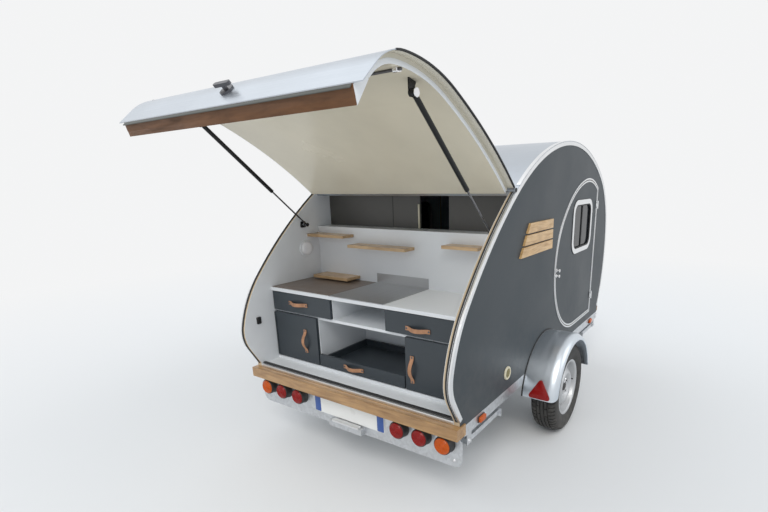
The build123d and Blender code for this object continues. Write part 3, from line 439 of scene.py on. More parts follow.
# Finishes of the CAD nodes that stay: finish, nodes
keptNodes = {
    "zinc": "chassis_frame drawbar axle lamp_plate jockey_mast jockey_fork strut_studs "
            "stand_rear_right stand_rear_left stand_front_right stand_front_left",
    "fenderZincSkyTint": "fenders",
    "blackPaint": "coupling_head strut_tube_right strut_tube_left strut_brackets",
    "darkSteel": "hatch_handle",
    "rodSteel": "strut_rod_right strut_rod_left",
    "beamWood": "timber_beams",
    "shadedHatchWood": "hatch_timber",
    "shelfWood": "wall_shelves",
    "slatWood": "side_slats",
    "blackPlastic": "lamp_housings cable_plug",
    "plateWhite": "number_plate roof_vent",
    "creamPlastic": "side_vents",
    "redLens": "red_lamps",
    "amberLens": "amber_lamps",
    "wallPanel": "side_wall_right side_wall_left",
    "doorPanel": "door_right door_left",
    "millSheet": "roof hatch_sheet",
    "trimAlu": "edge_trims door_trim_right door_trim_left",
    "whiteBoard": "bulkhead galley_cabinet worktop cabin_floor",
    "greyPanel": "upper_panels",
    "darkFront": "drawer_left drawer_right galley_tray cupboard_left cupboard_right",
    "hatchLiner": "hatch_core",
    "lidBoard": "worktop_board",
    "coverSteel": "cooker_cover",
    "tyreRubber": "tyre_right tyre_left",
    "blackRubber": "drawbar_cable jockey_wheel",
    "wheelSilver": "wheel_right wheel_left",
    "tintedGlass": "window_glass_right window_glass_left",
}
for finish, names in keptNodes.items():
    for name in names.split():
        mesh = nodes[name].data
        mesh.materials.clear()
        mesh.materials.append(look[finish])
print("stage: CAD nodes finished")

# Modelling helpers. Sizes are stations, y and z in mm, as in the CAD source, until they reach Blender.
mm = 0.001
stationOfOrigin = 1452.3
halfWidth, innerHalf = 735, 700
sides = [(-1, "right"), (1, "left")]


def spot(station, y, z):
    return Vector(((station - stationOfOrigin) * mm, y * mm, z * mm))


# Two distances from the middle, as y from low to high on the given side
def span(side, nearY, farY):
    return sorted((side * nearY, side * farY))


def leaveEdit():
    if bpy.context.object and bpy.context.object.mode != "OBJECT":
        bpy.ops.object.mode_set(mode="OBJECT")


def fresh(operator, **settings):
    leaveEdit()
    bpy.ops.object.select_all(action="DESELECT")
    operator(**settings)
    return bpy.context.object


def choose(*objects):
    leaveEdit()
    bpy.ops.object.select_all(action="DESELECT")
    for each in objects:
        each.select_set(True)
    bpy.context.view_layer.objects.active = objects[0]


def settle(piece):
    choose(piece)
    bpy.ops.object.transform_apply(location=True, rotation=True, scale=True)
    return piece


def editAll(piece):
    choose(piece)
    bpy.ops.object.mode_set(mode="EDIT")
    bpy.ops.mesh.select_mode(type="VERT")
    bpy.ops.mesh.select_all(action="SELECT")


def modify(piece, kind, **settings):
    choose(piece)
    modifier = piece.modifiers.new("step", kind)
    for key, value in settings.items():
        setattr(modifier, key, value)
    bpy.ops.object.modifier_apply(modifier=modifier.name)
    return piece


def smooth(piece, degrees=35):
    choose(piece)
    bpy.ops.object.shade_smooth_by_angle(angle=math.radians(degrees))
    return piece


def bevelled(piece, width, steps, degrees):
    return modify(piece, "BEVEL", width=width * mm, segments=steps, limit_method="ANGLE",
                  angle_limit=math.radians(degrees))


def soften(piece, edge, steps=2, degrees=30):
    return smooth(bevelled(piece, edge, steps, degrees))


def joined(*pieces):
    choose(*pieces)
    bpy.ops.object.join()
    return bpy.context.object


# The same piece on the other side, with its own mesh
def mirrored(piece):
    twin = piece.copy()
    twin.data = piece.data.copy()
    bpy.context.scene.collection.objects.link(twin)
    twin.data.transform(Matrix.Scale(-1, 4, (0, 1, 0)))
    twin.data.flip_normals()
    return twin


# Names a piece and gives it its finish and its body, and hides the CAD nodes that it stands in for
def finished(piece, name, body, finish, slot, *stands):
    settle(piece)
    piece.name = piece.data.name = name
    piece.data.materials.clear()
    piece.data.materials.append(look[finish])
    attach(piece, body)
    if stands:
        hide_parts(*stands)
    return piece


def box(low, high, edge=1.0, steps=2):
    middle = [(a + b) / 2 for a, b in zip(low, high)]
    piece = fresh(bpy.ops.mesh.primitive_cube_add, size=1, location=spot(*middle))
    piece.scale = [(b - a) * mm for a, b in zip(low, high)]
    settle(piece)
    return soften(piece, edge, steps) if edge else piece


# Ready for choosing edges or faces by their place: nothing is selected, and the mode is left again
def clearPick(piece, kind):
    choose(piece)
    bpy.ops.object.mode_set(mode="EDIT")
    bpy.ops.mesh.select_mode(type=kind)
    bpy.ops.mesh.select_all(action="DESELECT")
    bpy.ops.object.mode_set(mode="OBJECT")


# A plate with rounded corners; thin is the axis it is thin along: 0, 1 or 2
def roundPlate(low, high, thin, corner, edge=0.8, cornerSteps=8):
    piece = box(low, high, 0)
    clearPick(piece, "EDGE")
    points = piece.data.vertices
    for side in piece.data.edges:
        a, b = [points[i].co for i in side.vertices]
        side.select = abs((a - b).normalized()[thin]) > 0.9
    bpy.ops.object.mode_set(mode="EDIT")
    bpy.ops.mesh.bevel(offset=corner * mm, segments=cornerSteps, affect="EDGES")
    bpy.ops.object.mode_set(mode="OBJECT")
    return soften(piece, edge, 2, 50) if edge else smooth(piece, 50)


# A bare line of edges through the spots
def chain(spots):
    piece = fresh(bpy.ops.mesh.primitive_plane_add, size=0.002, location=spots[0])
    editAll(piece)
    bpy.ops.mesh.merge(type="CENTER")
    for a, b in zip(spots, spots[1:]):
        bpy.ops.mesh.extrude_region_move(TRANSFORM_OT_translate={"value": b - a})
    leaveEdit()
    return piece


# Turned on an axis: profile rows are distance along the axis and radius; start is the direction of radius
def turned(profile, centre, axis, steps=64, sweep=360, start=None, degrees=30):
    axis = Vector(axis).normalized()
    start = Vector(start).normalized() if start else axis.orthogonal().normalized()
    piece = chain([centre + axis * along * mm + start * radius * mm for along, radius in profile])
    editAll(piece)
    bpy.ops.mesh.spin(steps=steps, angle=math.radians(sweep), center=centre, axis=axis)
    bpy.ops.mesh.select_all(action="SELECT")
    bpy.ops.mesh.remove_doubles(threshold=0.00002)
    bpy.ops.mesh.normals_make_consistent(inside=False)
    leaveEdit()
    return smooth(settle(piece), degrees)


# A ribbon: the path is swept by the vector across and then thickened
def ribbon(spots, across, thickness, edge=0.0, degrees=35):
    piece = chain(spots)
    editAll(piece)
    bpy.ops.mesh.extrude_region_move(TRANSFORM_OT_translate={"value": Vector(across) * mm})
    bpy.ops.mesh.select_all(action="SELECT")
    bpy.ops.mesh.normals_make_consistent(inside=False)
    leaveEdit()
    settle(piece)
    modify(piece, "SOLIDIFY", thickness=thickness * mm, offset=0, use_even_offset=True)
    editAll(piece)
    bpy.ops.mesh.normals_make_consistent(inside=False)
    leaveEdit()
    return soften(piece, edge, 2, 50) if edge else smooth(piece, degrees)


def rod(a, b, radius, sidesCount=20, edge=0.0):
    line = b - a
    piece = fresh(bpy.ops.mesh.primitive_cylinder_add, vertices=sidesCount, radius=radius * mm,
                  depth=line.length, location=(a + b) / 2)
    piece.rotation_euler = line.to_track_quat("Z", "Y").to_euler()
    settle(piece)
    return soften(piece, edge, 2, 50) if edge else smooth(piece, 40)


def wire(spots, radius, cyclic=False):
    data = bpy.data.curves.new("wire", "CURVE")
    data.dimensions = "3D"
    data.bevel_depth = radius * mm
    data.bevel_resolution = 3
    data.use_fill_caps = True
    spline = data.splines.new("POLY")
    spline.points.add(len(spots) - 1)
    for place, each in zip(spline.points, spots):
        place.co = (*each, 1)
    spline.use_cyclic_u = cyclic
    piece = bpy.data.objects.new("wire", data)
    bpy.context.scene.collection.objects.link(piece)
    choose(piece)
    bpy.ops.object.convert(target="MESH")
    return smooth(bpy.context.object, 40)


# Outlines as chains of tangent arcs, in station and height
bodyOutline = {
    "heading": 63.5,
    "nodes": [(2345, 500), (2436, 1192), (2150, 1595), (1455, 1797), (730, 1637), (520, 1510),
              (10, 1027), (-128, 745), (-108, 600), (-45, 489)],
}
doorOutline = {
    "heading": 180,
    "nodes": [(1640, 527), (1176, 1000), (1300, 1314), (1780, 1557), (2072, 1494)],
}
hingeNode, lastNode = 5, 9


# Points along an outline from one node to another, set inwards by inset
def arcPoints(outline, first, last, inset, spacing=24):
    heading = math.radians(outline["heading"])
    result = []
    for index, (a, b) in enumerate(zip(outline["nodes"], outline["nodes"][1:])):
        chord = math.atan2(b[1] - a[1], b[0] - a[0])
        half = (chord - heading + math.pi) % (2 * math.pi) - math.pi
        length = math.dist(a, b)
        if first <= index < last:
            count = max(2, round(length / spacing))
            radius = length / (2 * math.sin(half)) if abs(half) > 1e-6 else 1e9
            for step in range(count + (index == last - 1)):
                angle = heading + 2 * half * step / count
                x = a[0] + radius * (math.sin(angle) - math.sin(heading))
                z = a[1] - radius * (math.cos(angle) - math.cos(heading))
                result.append((x - inset * math.sin(angle), z + inset * math.cos(angle)))
        heading = chord + half
    return result


# A ribbon along an outline's points, which lies between two distances from the middle on one side
def bandAlong(path, side, nearY, farY, thickness, edge=0.0):
    lowY, highY = span(side, nearY, farY)
    return ribbon([spot(x, lowY, z) for x, z in path], (0, highY - lowY, 0), thickness, edge)


hatchOpenAngle = 76
pivotPoint = arcPoints(bodyOutline, hingeNode, hingeNode + 1, -9.5)[0]
pivotSpot = spot(pivotPoint[0], 0, pivotPoint[1])
hatchTurn = Matrix.Rotation(math.radians(hatchOpenAngle), 4, "Y")
openTurn = Matrix.Translation(pivotSpot) @ hatchTurn @ Matrix.Translation(-pivotSpot)


# Takes a piece from the closed hatch's place to the open one, where the frame has it
def swungOpen(piece):
    settle(piece)
    piece.matrix_world = openTurn
    return settle(piece)


# Road wheels: profiles are distance outwards from the wheel's middle and radius
tyre = {
    "innerSide": [(-58, 166), (-65, 170), (-68, 179), (-75, 194), (-80.5, 212), (-82.4, 230), (-80, 248),
                  (-75.5, 262), (-69, 272), (-60, 279), (-50, 282.3)],
    "grooves": (-34, -11.5, 11.5, 34), "grooveHalf": 3.4, "grooveSlope": 1, "grooveDepth": 7,
    "radius": 285, "crown": 0.0006, "steps": 240,
    "treadFrom": 262, "shoulder": (39, 74), "middle": (15.5, 30), "middleShift": 8,
    "blockEvery": 4, "blockDepth": 5,
}
rim = {
    "barrel": [(58, 165), (62, 167), (64, 177), (66, 178.6), (68.5, 178.2), (69.6, 176), (69, 169),
               (65.5, 163.5), (60, 160.5), (30, 159.5), (14, 148), (-14, 148), (-30, 159.5), (-60, 160.5),
               (-65.5, 163.5), (-69, 169), (-69.6, 176), (-68.5, 178.2), (-66, 178.6), (-64, 177), (-62, 167),
               (-58, 165), (-32, 163), (-16, 151.5), (16, 151.5), (32, 163), (58, 165)],
    "disc": [(8, 158.5), (27, 158.5), (30, 152), (33, 142), (37, 129), (41, 118), (47, 108), (54, 102),
             (58, 96), (59.5, 90), (58.5, 84), (54.5, 77), (47, 70), (40, 65), (37, 60), (36.5, 56),
             (36.5, 29.5), (32.5, 29.5), (32.5, 58), (36, 68), (43, 74), (50, 80), (54, 86), (55, 91),
             (53, 96), (48, 100), (42, 106), (36, 116), (32, 128), (28, 141), (25, 150), (23, 154.5),
             (8, 155), (8, 158.5)],
    "steps": 96, "holes": 16, "holeRadius": 9.5, "holeCircle": 122, "holeDepth": 90,
    "bolts": 4, "boltCircle": 50, "boltTurn": 0.35, "boltHead": (41, 55), "boltRadius": 9.6,
    "boltSeat": [(36, 0), (36, 13), (38, 13.5), (41, 11.5), (43, 9.5)],
    "cap": [(33, 26), (36, 29.5), (44, 29.5), (47, 27), (48, 24), (46.5, 22.5), (46.5, 16), (49, 14), (50, 8),
            (50.4, 0)],
    "valve": [(142, -30), (138, -58)], "valveRadius": 4.2,
}
axleSpot = {side: spot(1035, side * 840, 285) for side, name in sides}


def addTyre():
    ribs = []
    half, slope, depth = tyre["grooveHalf"], tyre["grooveSlope"], tyre["grooveDepth"]
    for middle in tyre["grooves"]:
        top = tyre["radius"] - tyre["crown"] * middle ** 2
        ribs += [(middle - half, top), (middle - half + slope, top - depth),
                 (middle + half - slope, top - depth), (middle + half, top)]
    profile = tyre["innerSide"] + ribs + [(-a, r) for a, r in reversed(tyre["innerSide"])]
    piece = turned(profile, axleSpot[-1], (0, -1, 0), tyre["steps"], start=(1, 0, 0), degrees=28)
    clearPick(piece, "FACE")
    perFace = 2 * math.pi / tyre["steps"]
    every = tyre["blockEvery"]
    for face in piece.data.polygons:
        at = face.center - axleSpot[-1]
        row = int((math.atan2(at.z, at.x) % (2 * math.pi)) / perFace) + (2 if at.y > 0 else 0)
        across = abs(at.y) / mm
        wide = tyre["shoulder"][0] < across < tyre["shoulder"][1] and row % every == 0
        fineRow = row + int(across / tyre["middleShift"])
        fine = tyre["middle"][0] < across < tyre["middle"][1] and fineRow % (2 * every) == 0
        face.select = math.hypot(at.x, at.z) > tyre["treadFrom"] * mm and (wide or fine)
    bpy.ops.object.mode_set(mode="EDIT")
    bpy.ops.mesh.extrude_region_shrink_fatten(TRANSFORM_OT_shrink_fatten={"value": -tyre["blockDepth"] * mm})
    leaveEdit()
    return smooth(piece, 28)


# Places round the wheel, where something repeats
def aroundWheel(centre, count, turn, radius):
    angles = [2 * math.pi * (index + turn) / count for index in range(count)]
    return [centre + Vector((math.cos(a), 0, math.sin(a))) * radius * mm for a in angles]


def addWheelDisc(centre):
    barrel = turned(rim["barrel"], centre, (0, -1, 0), rim["steps"], degrees=40)
    disc = turned(rim["disc"], centre, (0, -1, 0), rim["steps"], degrees=40)
    through = Vector((0, -rim["holeDepth"] * mm, 0))
    cutters = [rod(place, place + through, rim["holeRadius"], 16)
               for place in aroundWheel(centre, rim["holes"], 0.5, rim["holeCircle"])]
    cutter = joined(*cutters)
    modify(disc, "BOOLEAN", operation="DIFFERENCE", object=cutter, solver="EXACT")
    bpy.data.objects.remove(cutter)
    return joined(barrel, smooth(disc, 40))


def addWheelBolts(centre):
    bolts = []
    low, high = [Vector((0, -height * mm, 0)) for height in rim["boltHead"]]
    for place in aroundWheel(centre, rim["bolts"], rim["boltTurn"], rim["boltCircle"]):
        bolts.append(turned(rim["boltSeat"], place, (0, -1, 0), 24))
        bolts.append(rod(place + low, place + high, rim["boltRadius"], 6, 0.8))
    return joined(*bolts)


def addHubCap(centre):
    cap = turned(rim["cap"], centre, (0, -1, 0), 48)
    ends = [centre + Vector((x * mm, y * mm, 0)) for x, y in rim["valve"]]
    return joined(cap, rod(*ends, rim["valveRadius"], 12, 1.0))


tyreRight = addTyre()
tyreLeft = mirrored(tyreRight)
wheelParts = [add(axleSpot[-1]) for add in (addWheelDisc, addWheelBolts, addHubCap)]
for side, name, tyrePiece in [(-1, "Right", tyreRight), (1, "Left", tyreLeft)]:
    body = f"road_wheel_{name.lower()}"
    rimPiece, boltPiece, capPiece = [mirrored(p) for p in wheelParts] if side > 0 else wheelParts
    finished(tyrePiece, f"tyre{name}", body, "tyreRubber", "tyre_rubber", f"tyre_{name.lower()}")
    finished(rimPiece, f"steelWheel{name}", body, "wheelSilver", "silver_paint", f"wheel_{name.lower()}")
    finished(boltPiece, f"wheelBolts{name}", body, "chrome", "galvanised_steel")
    finished(capPiece, f"hubCap{name}", body, "blackPlastic", "black_plastic")
print("stage: road wheels")

# Fenders: rolled sheet with a rounded outer edge, a curled lip and rounded corners at both ends
fender = {
    "profile": [(-105, 347), (-60, 349), (0, 350.5), (50, 351.5), (66, 350.5), (80, 346.5), (91, 340),
                (99.5, 331), (104.5, 321), (106.5, 314), (105.5, 310.8), (102.5, 309.6), (99.8, 311)],
    "halfAngle": 84, "steps": 72, "corner": 62, "cornerRadius": 350, "sheet": 2.0,
    "seamRadius": 4.5, "seamPlace": (348.5, 104),
}


def addFender():
    centre = axleSpot[-1]
    half, corner, profile = fender["halfAngle"], fender["corner"], fender["profile"]
    start = Matrix.Rotation(math.radians(-half), 3, "Y") @ Vector((0, 0, 1))
    piece = turned(profile, centre, (0, -1, 0), fender["steps"], 2 * half, start=start)
    lengths = [0]
    for a, b in zip(profile, profile[1:]):
        lengths.append(lengths[-1] + math.dist(a, b))
    for vertex in piece.data.vertices:  # the ends are drawn back towards the outer edge, as a rounded corner
        place = vertex.co - centre
        radius = math.hypot(place.x, place.z)
        here = (-place.y / mm, radius / mm)
        row = min(range(len(lengths)), key=lambda i: math.dist(profile[i], here))
        near = max(0.0, (lengths[row] - lengths[-1] + corner) / corner)
        drop = math.degrees(corner * (1 - math.sqrt(max(0, 1 - near ** 2))) / fender["cornerRadius"])
        angle = math.atan2(place.x, place.z) * (1 - drop / half)
        vertex.co = centre + Vector((radius * math.sin(angle), place.y, radius * math.cos(angle)))
    modify(piece, "SOLIDIFY", thickness=fender["sheet"] * mm, offset=-1)
    return smooth(piece, 50)


def addFenderSeam():
    radius, across = [size * mm for size in fender["seamPlace"]]
    angles = [math.radians(a) for a in range(-fender["halfAngle"], fender["halfAngle"] + 1, 4)]
    path = [axleSpot[-1] + Vector((radius * math.sin(a), across, radius * math.cos(a))) for a in angles]
    return wire(path, fender["seamRadius"])


fenderRight, seamRight = addFender(), addFenderSeam()
fenderLeft, seamLeft = mirrored(fenderRight), mirrored(seamRight)
bothFenders = joined(fenderRight, fenderLeft)
# The fenders' blue tint is a painted sky reflection
finished(bothFenders, "rolledFenders", "trailer", "fenderZincSkyTint", "galvanised_steel", "fenders")
finished(joined(seamRight, seamLeft), "fenderSeams", "trailer", "blackRubber", "black_rubber")
print("stage: fenders")

# CAD nodes that keep their shape: softened edges in mm
softEdges = {
    0.8: "edge_trims door_trim_right door_trim_left number_plate cooker_cover worktop_board lamp_plate",
    1.5: "drawer_left drawer_right galley_tray cupboard_left cupboard_right worktop bulkhead wall_shelves "
         "side_slats stand_rear_right stand_rear_left stand_front_right stand_front_left jockey_fork "
         "hatch_handle door_right door_left strut_brackets",
    3.0: "timber_beams hatch_timber hatch_core chassis_frame drawbar",
}
for edge, names in softEdges.items():
    for name in names.split():
        modifier = nodes[name].modifiers.new("softEdges", "BEVEL")
        modifier.width = edge * mm
        modifier.segments = 2
        modifier.limit_method = "ANGLE"
        modifier.angle_limit = math.radians(40)
        modifier.harden_normals = True

# Rear lamps: deep housings and ribbed, domed lenses
rearLamps = {
    "places": [(371, "redLens"), (510, "redLens"), (645, "amberLens")],
    "height": 346, "plateFace": -22, "steps": 56,
    "housing": [(0, 0), (0, 51.5), (3, 51.5), (4, 49), (6, 48.2), (37, 47.2), (40.5, 46.2), (42, 44.4),
                (41.6, 43.2), (39, 43), (39, 0)],
    "lensRim": [(38, 42.4), (42.5, 42.4), (44.5, 41.6), (46, 39.5)],
    "dome": 51.3, "domeFall": 4.0, "domeRadius": 43, "middle": 51,
    "firstRib": 37, "ribEvery": 2, "ribFoot": 0.6, "ribTop": (0.8, 0.4),
}


def lensProfile():
    rows = list(rearLamps["lensRim"])
    rise, narrow = rearLamps["ribTop"]
    for radius in range(rearLamps["firstRib"], 0, -rearLamps["ribEvery"]):
        height = rearLamps["dome"] - rearLamps["domeFall"] * (radius / rearLamps["domeRadius"]) ** 2
        rows += [(height, radius + rearLamps["ribFoot"]), (height + rise, radius - narrow)]
    return rows + [(rearLamps["middle"], 0)]


def addRearLamps():
    housings, lenses = [], {"redLens": [], "amberLens": []}
    for y, finish in rearLamps["places"]:
        for side, name in sides:
            centre = spot(rearLamps["plateFace"], side * y, rearLamps["height"])
            housings.append(turned(rearLamps["housing"], centre, (-1, 0, 0), rearLamps["steps"], degrees=35))
            lenses[finish].append(turned(lensProfile(), centre, (-1, 0, 0), rearLamps["steps"], degrees=60))
    housing = joined(*housings)
    finished(housing, "rearLampHousings", "trailer", "blackPlastic", "black_plastic", "lamp_housings")
    return lenses


# Side markers. Each plate: half length, reach from the wall, lowest and highest
markers = {
    "stations": (165, 2130), "corner": 7,
    "base": (35, 4, 401, 437), "lens": (31, 16, 404, 434), "window": (24, 16.8, 410, 428),
}


def markerCorners(side, station, plate):
    half, reach, low, high = markers[plate]
    lowY, highY = span(side, halfWidth, halfWidth + reach)
    return (station - half, lowY, low), (station + half, highY, high)


def addMarkers():
    bases, lenses = [], []
    for side, name in sides:
        for station in markers["stations"]:
            bases.append(roundPlate(*markerCorners(side, station, "base"), 1, markers["corner"]))
            lens = roundPlate(*markerCorners(side, station, "lens"), 1, markers["corner"], 0)
            lenses.append(soften(lens, 4, 3, 50))
            lenses.append(box(*markerCorners(side, station, "window"), 1.2))
    finished(joined(*bases), "markerBases", "trailer", "blackPlastic", "black_plastic")
    return lenses


# Red triangular reflector on the back of each fender. Each plate: size, from and to in thickness
reflector = {"angle": 14, "radius": 353, "y": 845, "plates": [(84, 0, 7), (67, 6, 9.5)], "corner": 26}


def addReflectors():
    pieces = []
    angle = math.radians(reflector["angle"])
    outward = Vector((-math.cos(angle), 0, math.sin(angle)))
    up = Vector((math.sin(angle), 0, math.cos(angle)))
    turn = Matrix((up.cross(outward), up, outward)).transposed().to_4x4()
    for side, name in sides:
        for size, low, high in reflector["plates"]:
            piece = fresh(bpy.ops.mesh.primitive_cylinder_add, vertices=3, radius=size * mm,
                          depth=(high - low) * mm)
            bevelled(piece, reflector["corner"], 6, 100)
            place = Vector(axleSpot[side]) + outward * (reflector["radius"] + (low + high) / 2) * mm
            place.y = side * reflector["y"] * mm
            piece.matrix_world = Matrix.Translation(place) @ turn
            pieces.append(soften(settle(piece), 1.5, 2, 60))
    return pieces


lensPieces = addRearLamps()
markerLenses = addMarkers()
redLenses = joined(*lensPieces["redLens"], *addReflectors())
finished(redLenses, "redLenses", "trailer", "redLens", "red_lens", "red_lamps")
amberLenses = joined(*lensPieces["amberLens"], *markerLenses)
finished(amberLenses, "amberLenses", "trailer", "amberLens", "amber_lens", "amber_lamps")

# Number plate: end bands and the light under it
plateTrim = {
    "bandYs": (-258, 212), "bandWidth": 46, "bandFaces": (-26.8, -25.5), "bandHeights": (279.5, 386.5),
    "light": [(-60, -100, 262), (-26, 100, 275)],
}
(outerFace, innerFace), (bandLow, bandHigh) = plateTrim["bandFaces"], plateTrim["bandHeights"]
endBands = [roundPlate((outerFace, y, bandLow), (innerFace, y + plateTrim["bandWidth"], bandHigh), 0, 6, 0.3)
            for y in plateTrim["bandYs"]]
finished(joined(*endBands), "plateEndBands", "trailer", "plateBlue", "white_plate")
plateLight = roundPlate(*plateTrim["light"], 2, 9, 3)
finished(plateLight, "plateLight", "trailer", "trimAlu", "sheet_aluminium")
print("stage: lamps and plate")

# Rear edges of the side walls, where the hatch closes: aluminium strip, seals, pale line. Then the sill
wallEdges = {
    "strip": (727, 736.5), "stripInset": -1.2, "seals": [(715.5, 4.2), (724.8, 2.0)],
    "line": (720.3, 722.6), "lineInset": -0.6,
    "sillHalf": 698, "sillFoot": [(-47, 467), (-44, 485)], "sillTop": [(-45, 482), (-16, 485)],
    "sillSeal": [(-33, 484), (-16, 493)],
}


def sillBar(corners, edge):
    (x, z), (farX, farZ) = corners
    return box((x, -wallEdges["sillHalf"], z), (farX, wallEdges["sillHalf"], farZ), edge)


def addOpeningEdges():
    strips, seals, paleLines = [], [], []
    stripPath = arcPoints(bodyOutline, hingeNode, lastNode, wallEdges["stripInset"])
    linePath = arcPoints(bodyOutline, hingeNode, lastNode, wallEdges["lineInset"])
    for side, name in sides:
        strips.append(bandAlong(stripPath, side, *wallEdges["strip"], 2.4, 0.6))
        for y, radius in wallEdges["seals"]:
            seals.append(wire([spot(x, side * y, z) for x, z in stripPath], radius))
        paleLines.append(bandAlong(linePath, side, *wallEdges["line"], 1.2))
    sillStrip = joined(sillBar(wallEdges["sillFoot"], 1), sillBar(wallEdges["sillTop"], 1))
    sillSeal = sillBar(wallEdges["sillSeal"], 2.5)
    finished(joined(*strips, sillStrip), "hatchOpeningStrips", "trailer", "trimAlu", "sheet_aluminium")
    finished(joined(*seals, sillSeal), "hatchOpeningSeals", "trailer", "blackRubber", "black_rubber")
    finished(joined(*paleLines), "hatchOpeningLines", "trailer", "whiteBoard", "white_board")


addOpeningEdges()

# Hatch edges, in the closed hatch's place. Each: inset, from and to across, lowest height, thickness, edge
hatchEdges = {
    "ribFace": (17.8, 693.2, 695.0, 590, 17.6, 0.8),
    "lining": (-6.4, 693.4, 727, 524, 0.8, 0.2),
    "rubber": (-8.5, 729, 737, 690, 7, 1.5),
}


def hatchBand(kind):
    inset, nearY, farY, lowest, thickness, edge = hatchEdges[kind]
    path = [p for p in arcPoints(bodyOutline, hingeNode, lastNode, inset, 20)[1:] if p[1] > lowest]
    return swungOpen(joined(*[bandAlong(path, side, nearY, farY, thickness, edge) for side, name in sides]))


# Hatch end: a rubber lip under the sheet, a timber rail across and a pale plate at each end of it
hatchEnd = {
    "lipHalf": 690, "lip": [(-68.5, 520), (-58.6, 505.06)], "lipThick": 4,
    "railHalf": 692.8, "rail": [(-52, 516), (-8, 545)], "railTop": (-52, -33),
    "tipYs": (693, 695), "tip": [(-66, 518), (-8, 592)], "tipTop": (-99, -72),
    "screwYs": (-620, -445, -270, -90, 90, 270, 445, 620), "screwPlace": (-19, 528),
    "screwAxis": (0.757, 0, 0.653), "screw": [(-3, 0), (-3, 8), (2, 8), (5, 6), (6, 0)],
}


# A box whose top is moved to two other stations, so that its ends slant
def slantedBox(corners, lowY, highY, topStations, edge):
    (x, z), (farX, farZ) = corners
    piece = box((x, lowY, z), (farX, highY, farZ), 0)
    middle, nearTop = spot((x + farX) / 2, 0, 0).x, spot(0, 0, farZ - 1).z
    for vertex in piece.data.vertices:
        if vertex.co.z > nearTop:
            vertex.co.x = spot(topStations[vertex.co.x > middle], 0, 0).x
    return soften(piece, edge)


def addHatchLip():
    lip = bandAlong(hatchEnd["lip"], 1, -hatchEnd["lipHalf"], hatchEnd["lipHalf"], hatchEnd["lipThick"], 1.2)
    finished(swungOpen(lip), "hatchLip", "hatch", "greyRubber", "black_rubber")


def addHatchRail():
    half = hatchEnd["railHalf"]
    rail = slantedBox(hatchEnd["rail"], -half, half, hatchEnd["railTop"], 1.5)
    # The rail's dark timber carries painted shade
    finished(swungOpen(rail), "hatchEndRail", "hatch", "shadedHatchWood", "pale_timber")
    tips = [slantedBox(hatchEnd["tip"], *span(side, *hatchEnd["tipYs"]), hatchEnd["tipTop"], 0.6)
            for side, name in sides]
    finished(swungOpen(joined(*tips)), "hatchRibTips", "hatch", "whiteBoard", "white_board")


def addHatchScrews():
    x, z = hatchEnd["screwPlace"]
    screws = [turned(hatchEnd["screw"], spot(x, y, z), hatchEnd["screwAxis"], 24)
              for y in hatchEnd["screwYs"]]
    finished(swungOpen(joined(*screws)), "hatchScrews", "hatch", "blackPaint", "black_paint")


# Lock rod across the hatch, its four guides and the plate at the handle
hatchLock = {
    "place": (-88, 775), "reach": 690, "rodRadius": 5, "guideYs": (-672, -240, 240, 672),
    "guideLow": (-13, -9, -16), "guideHigh": (9, 9, 16), "guideCorner": 8,
    "plate": [(-16, 0), (-16, 24), (-12, 26), (8, 26), (12, 22), (12, 0)], "plateShift": 2,
}


def addHatchLock():
    x, z = hatchLock["place"]
    lockRod = rod(spot(x, -hatchLock["reach"], z), spot(x, hatchLock["reach"], z), hatchLock["rodRadius"])
    finished(swungOpen(lockRod), "hatchLockRod", "hatch", "darkSteel", "black_cast_steel")
    fittings = []
    for y in hatchLock["guideYs"]:
        low, high = [[a + b for a, b in zip((x, y, z), hatchLock[key])] for key in ("guideLow", "guideHigh")]
        fittings.append(roundPlate(low, high, 1, hatchLock["guideCorner"], 1))
    fittings.append(turned(hatchLock["plate"], spot(x + hatchLock["plateShift"], 0, z), (1, 0, 0), 40))
    finished(swungOpen(joined(*fittings)), "hatchLockFittings", "hatch", "chrome", "galvanised_steel")


finished(hatchBand("lining"), "hatchEdgeLinings", "hatch", "hatchLiner", "cream_board")
finished(hatchBand("rubber"), "hatchEdgeRubber", "hatch", "blackRubber", "black_rubber")
finished(hatchBand("ribFace"), "hatchRibLines", "hatch", "whiteBoard", "white_board")
addHatchLip()
addHatchRail()
addHatchLock()
addHatchScrews()
print("stage: hatch fittings")

# Strut ends: round plates on the closed hatch's ribs, clevises on the walls
strutEnds = {
    "hatchPlace": (-9, 862), "hatchY": 676,
    "plate": [(0, 0), (0, 17), (2, 17), (3.4, 15.5), (3.4, 0)],
    "bolt": [(-4, 0), (-4, 4), (-3, 6), (0, 6.5), (0, 0)],
    "wallPlace": (384, 1311), "eyeYs": (655, 673), "eye": [(-2, 0), (-2, 12), (2, 12), (2, 0)],
    "wallPlate": (694, 700), "wallHalf": 20, "wallCorner": 8,
}


def addStrutEnds():
    plates, clevises = [], []
    for side, name in sides:
        x, z = strutEnds["hatchPlace"]
        centre = spot(x, side * strutEnds["hatchY"], z)
        plates.append(turned(strutEnds["plate"], centre, (0, side, 0), 40))
        plates.append(turned(strutEnds["bolt"], centre, (0, side, 0), 24))
        x, z = strutEnds["wallPlace"]
        for y in strutEnds["eyeYs"]:
            clevises.append(turned(strutEnds["eye"], spot(x, side * y, z), (0, side, 0), 24))
        half = strutEnds["wallHalf"]
        lowY, highY = span(side, *strutEnds["wallPlate"])
        clevises.append(roundPlate((x - half, lowY, z - half), (x + half, highY, z + half), 1,
                                   strutEnds["wallCorner"]))
    finished(swungOpen(joined(*plates)), "strutHatchPlates", "hatch", "chrome", "galvanised_steel")
    finished(joined(*clevises), "strutWallClevises", "trailer", "blackPaint", "black_paint")


addStrutEnds()

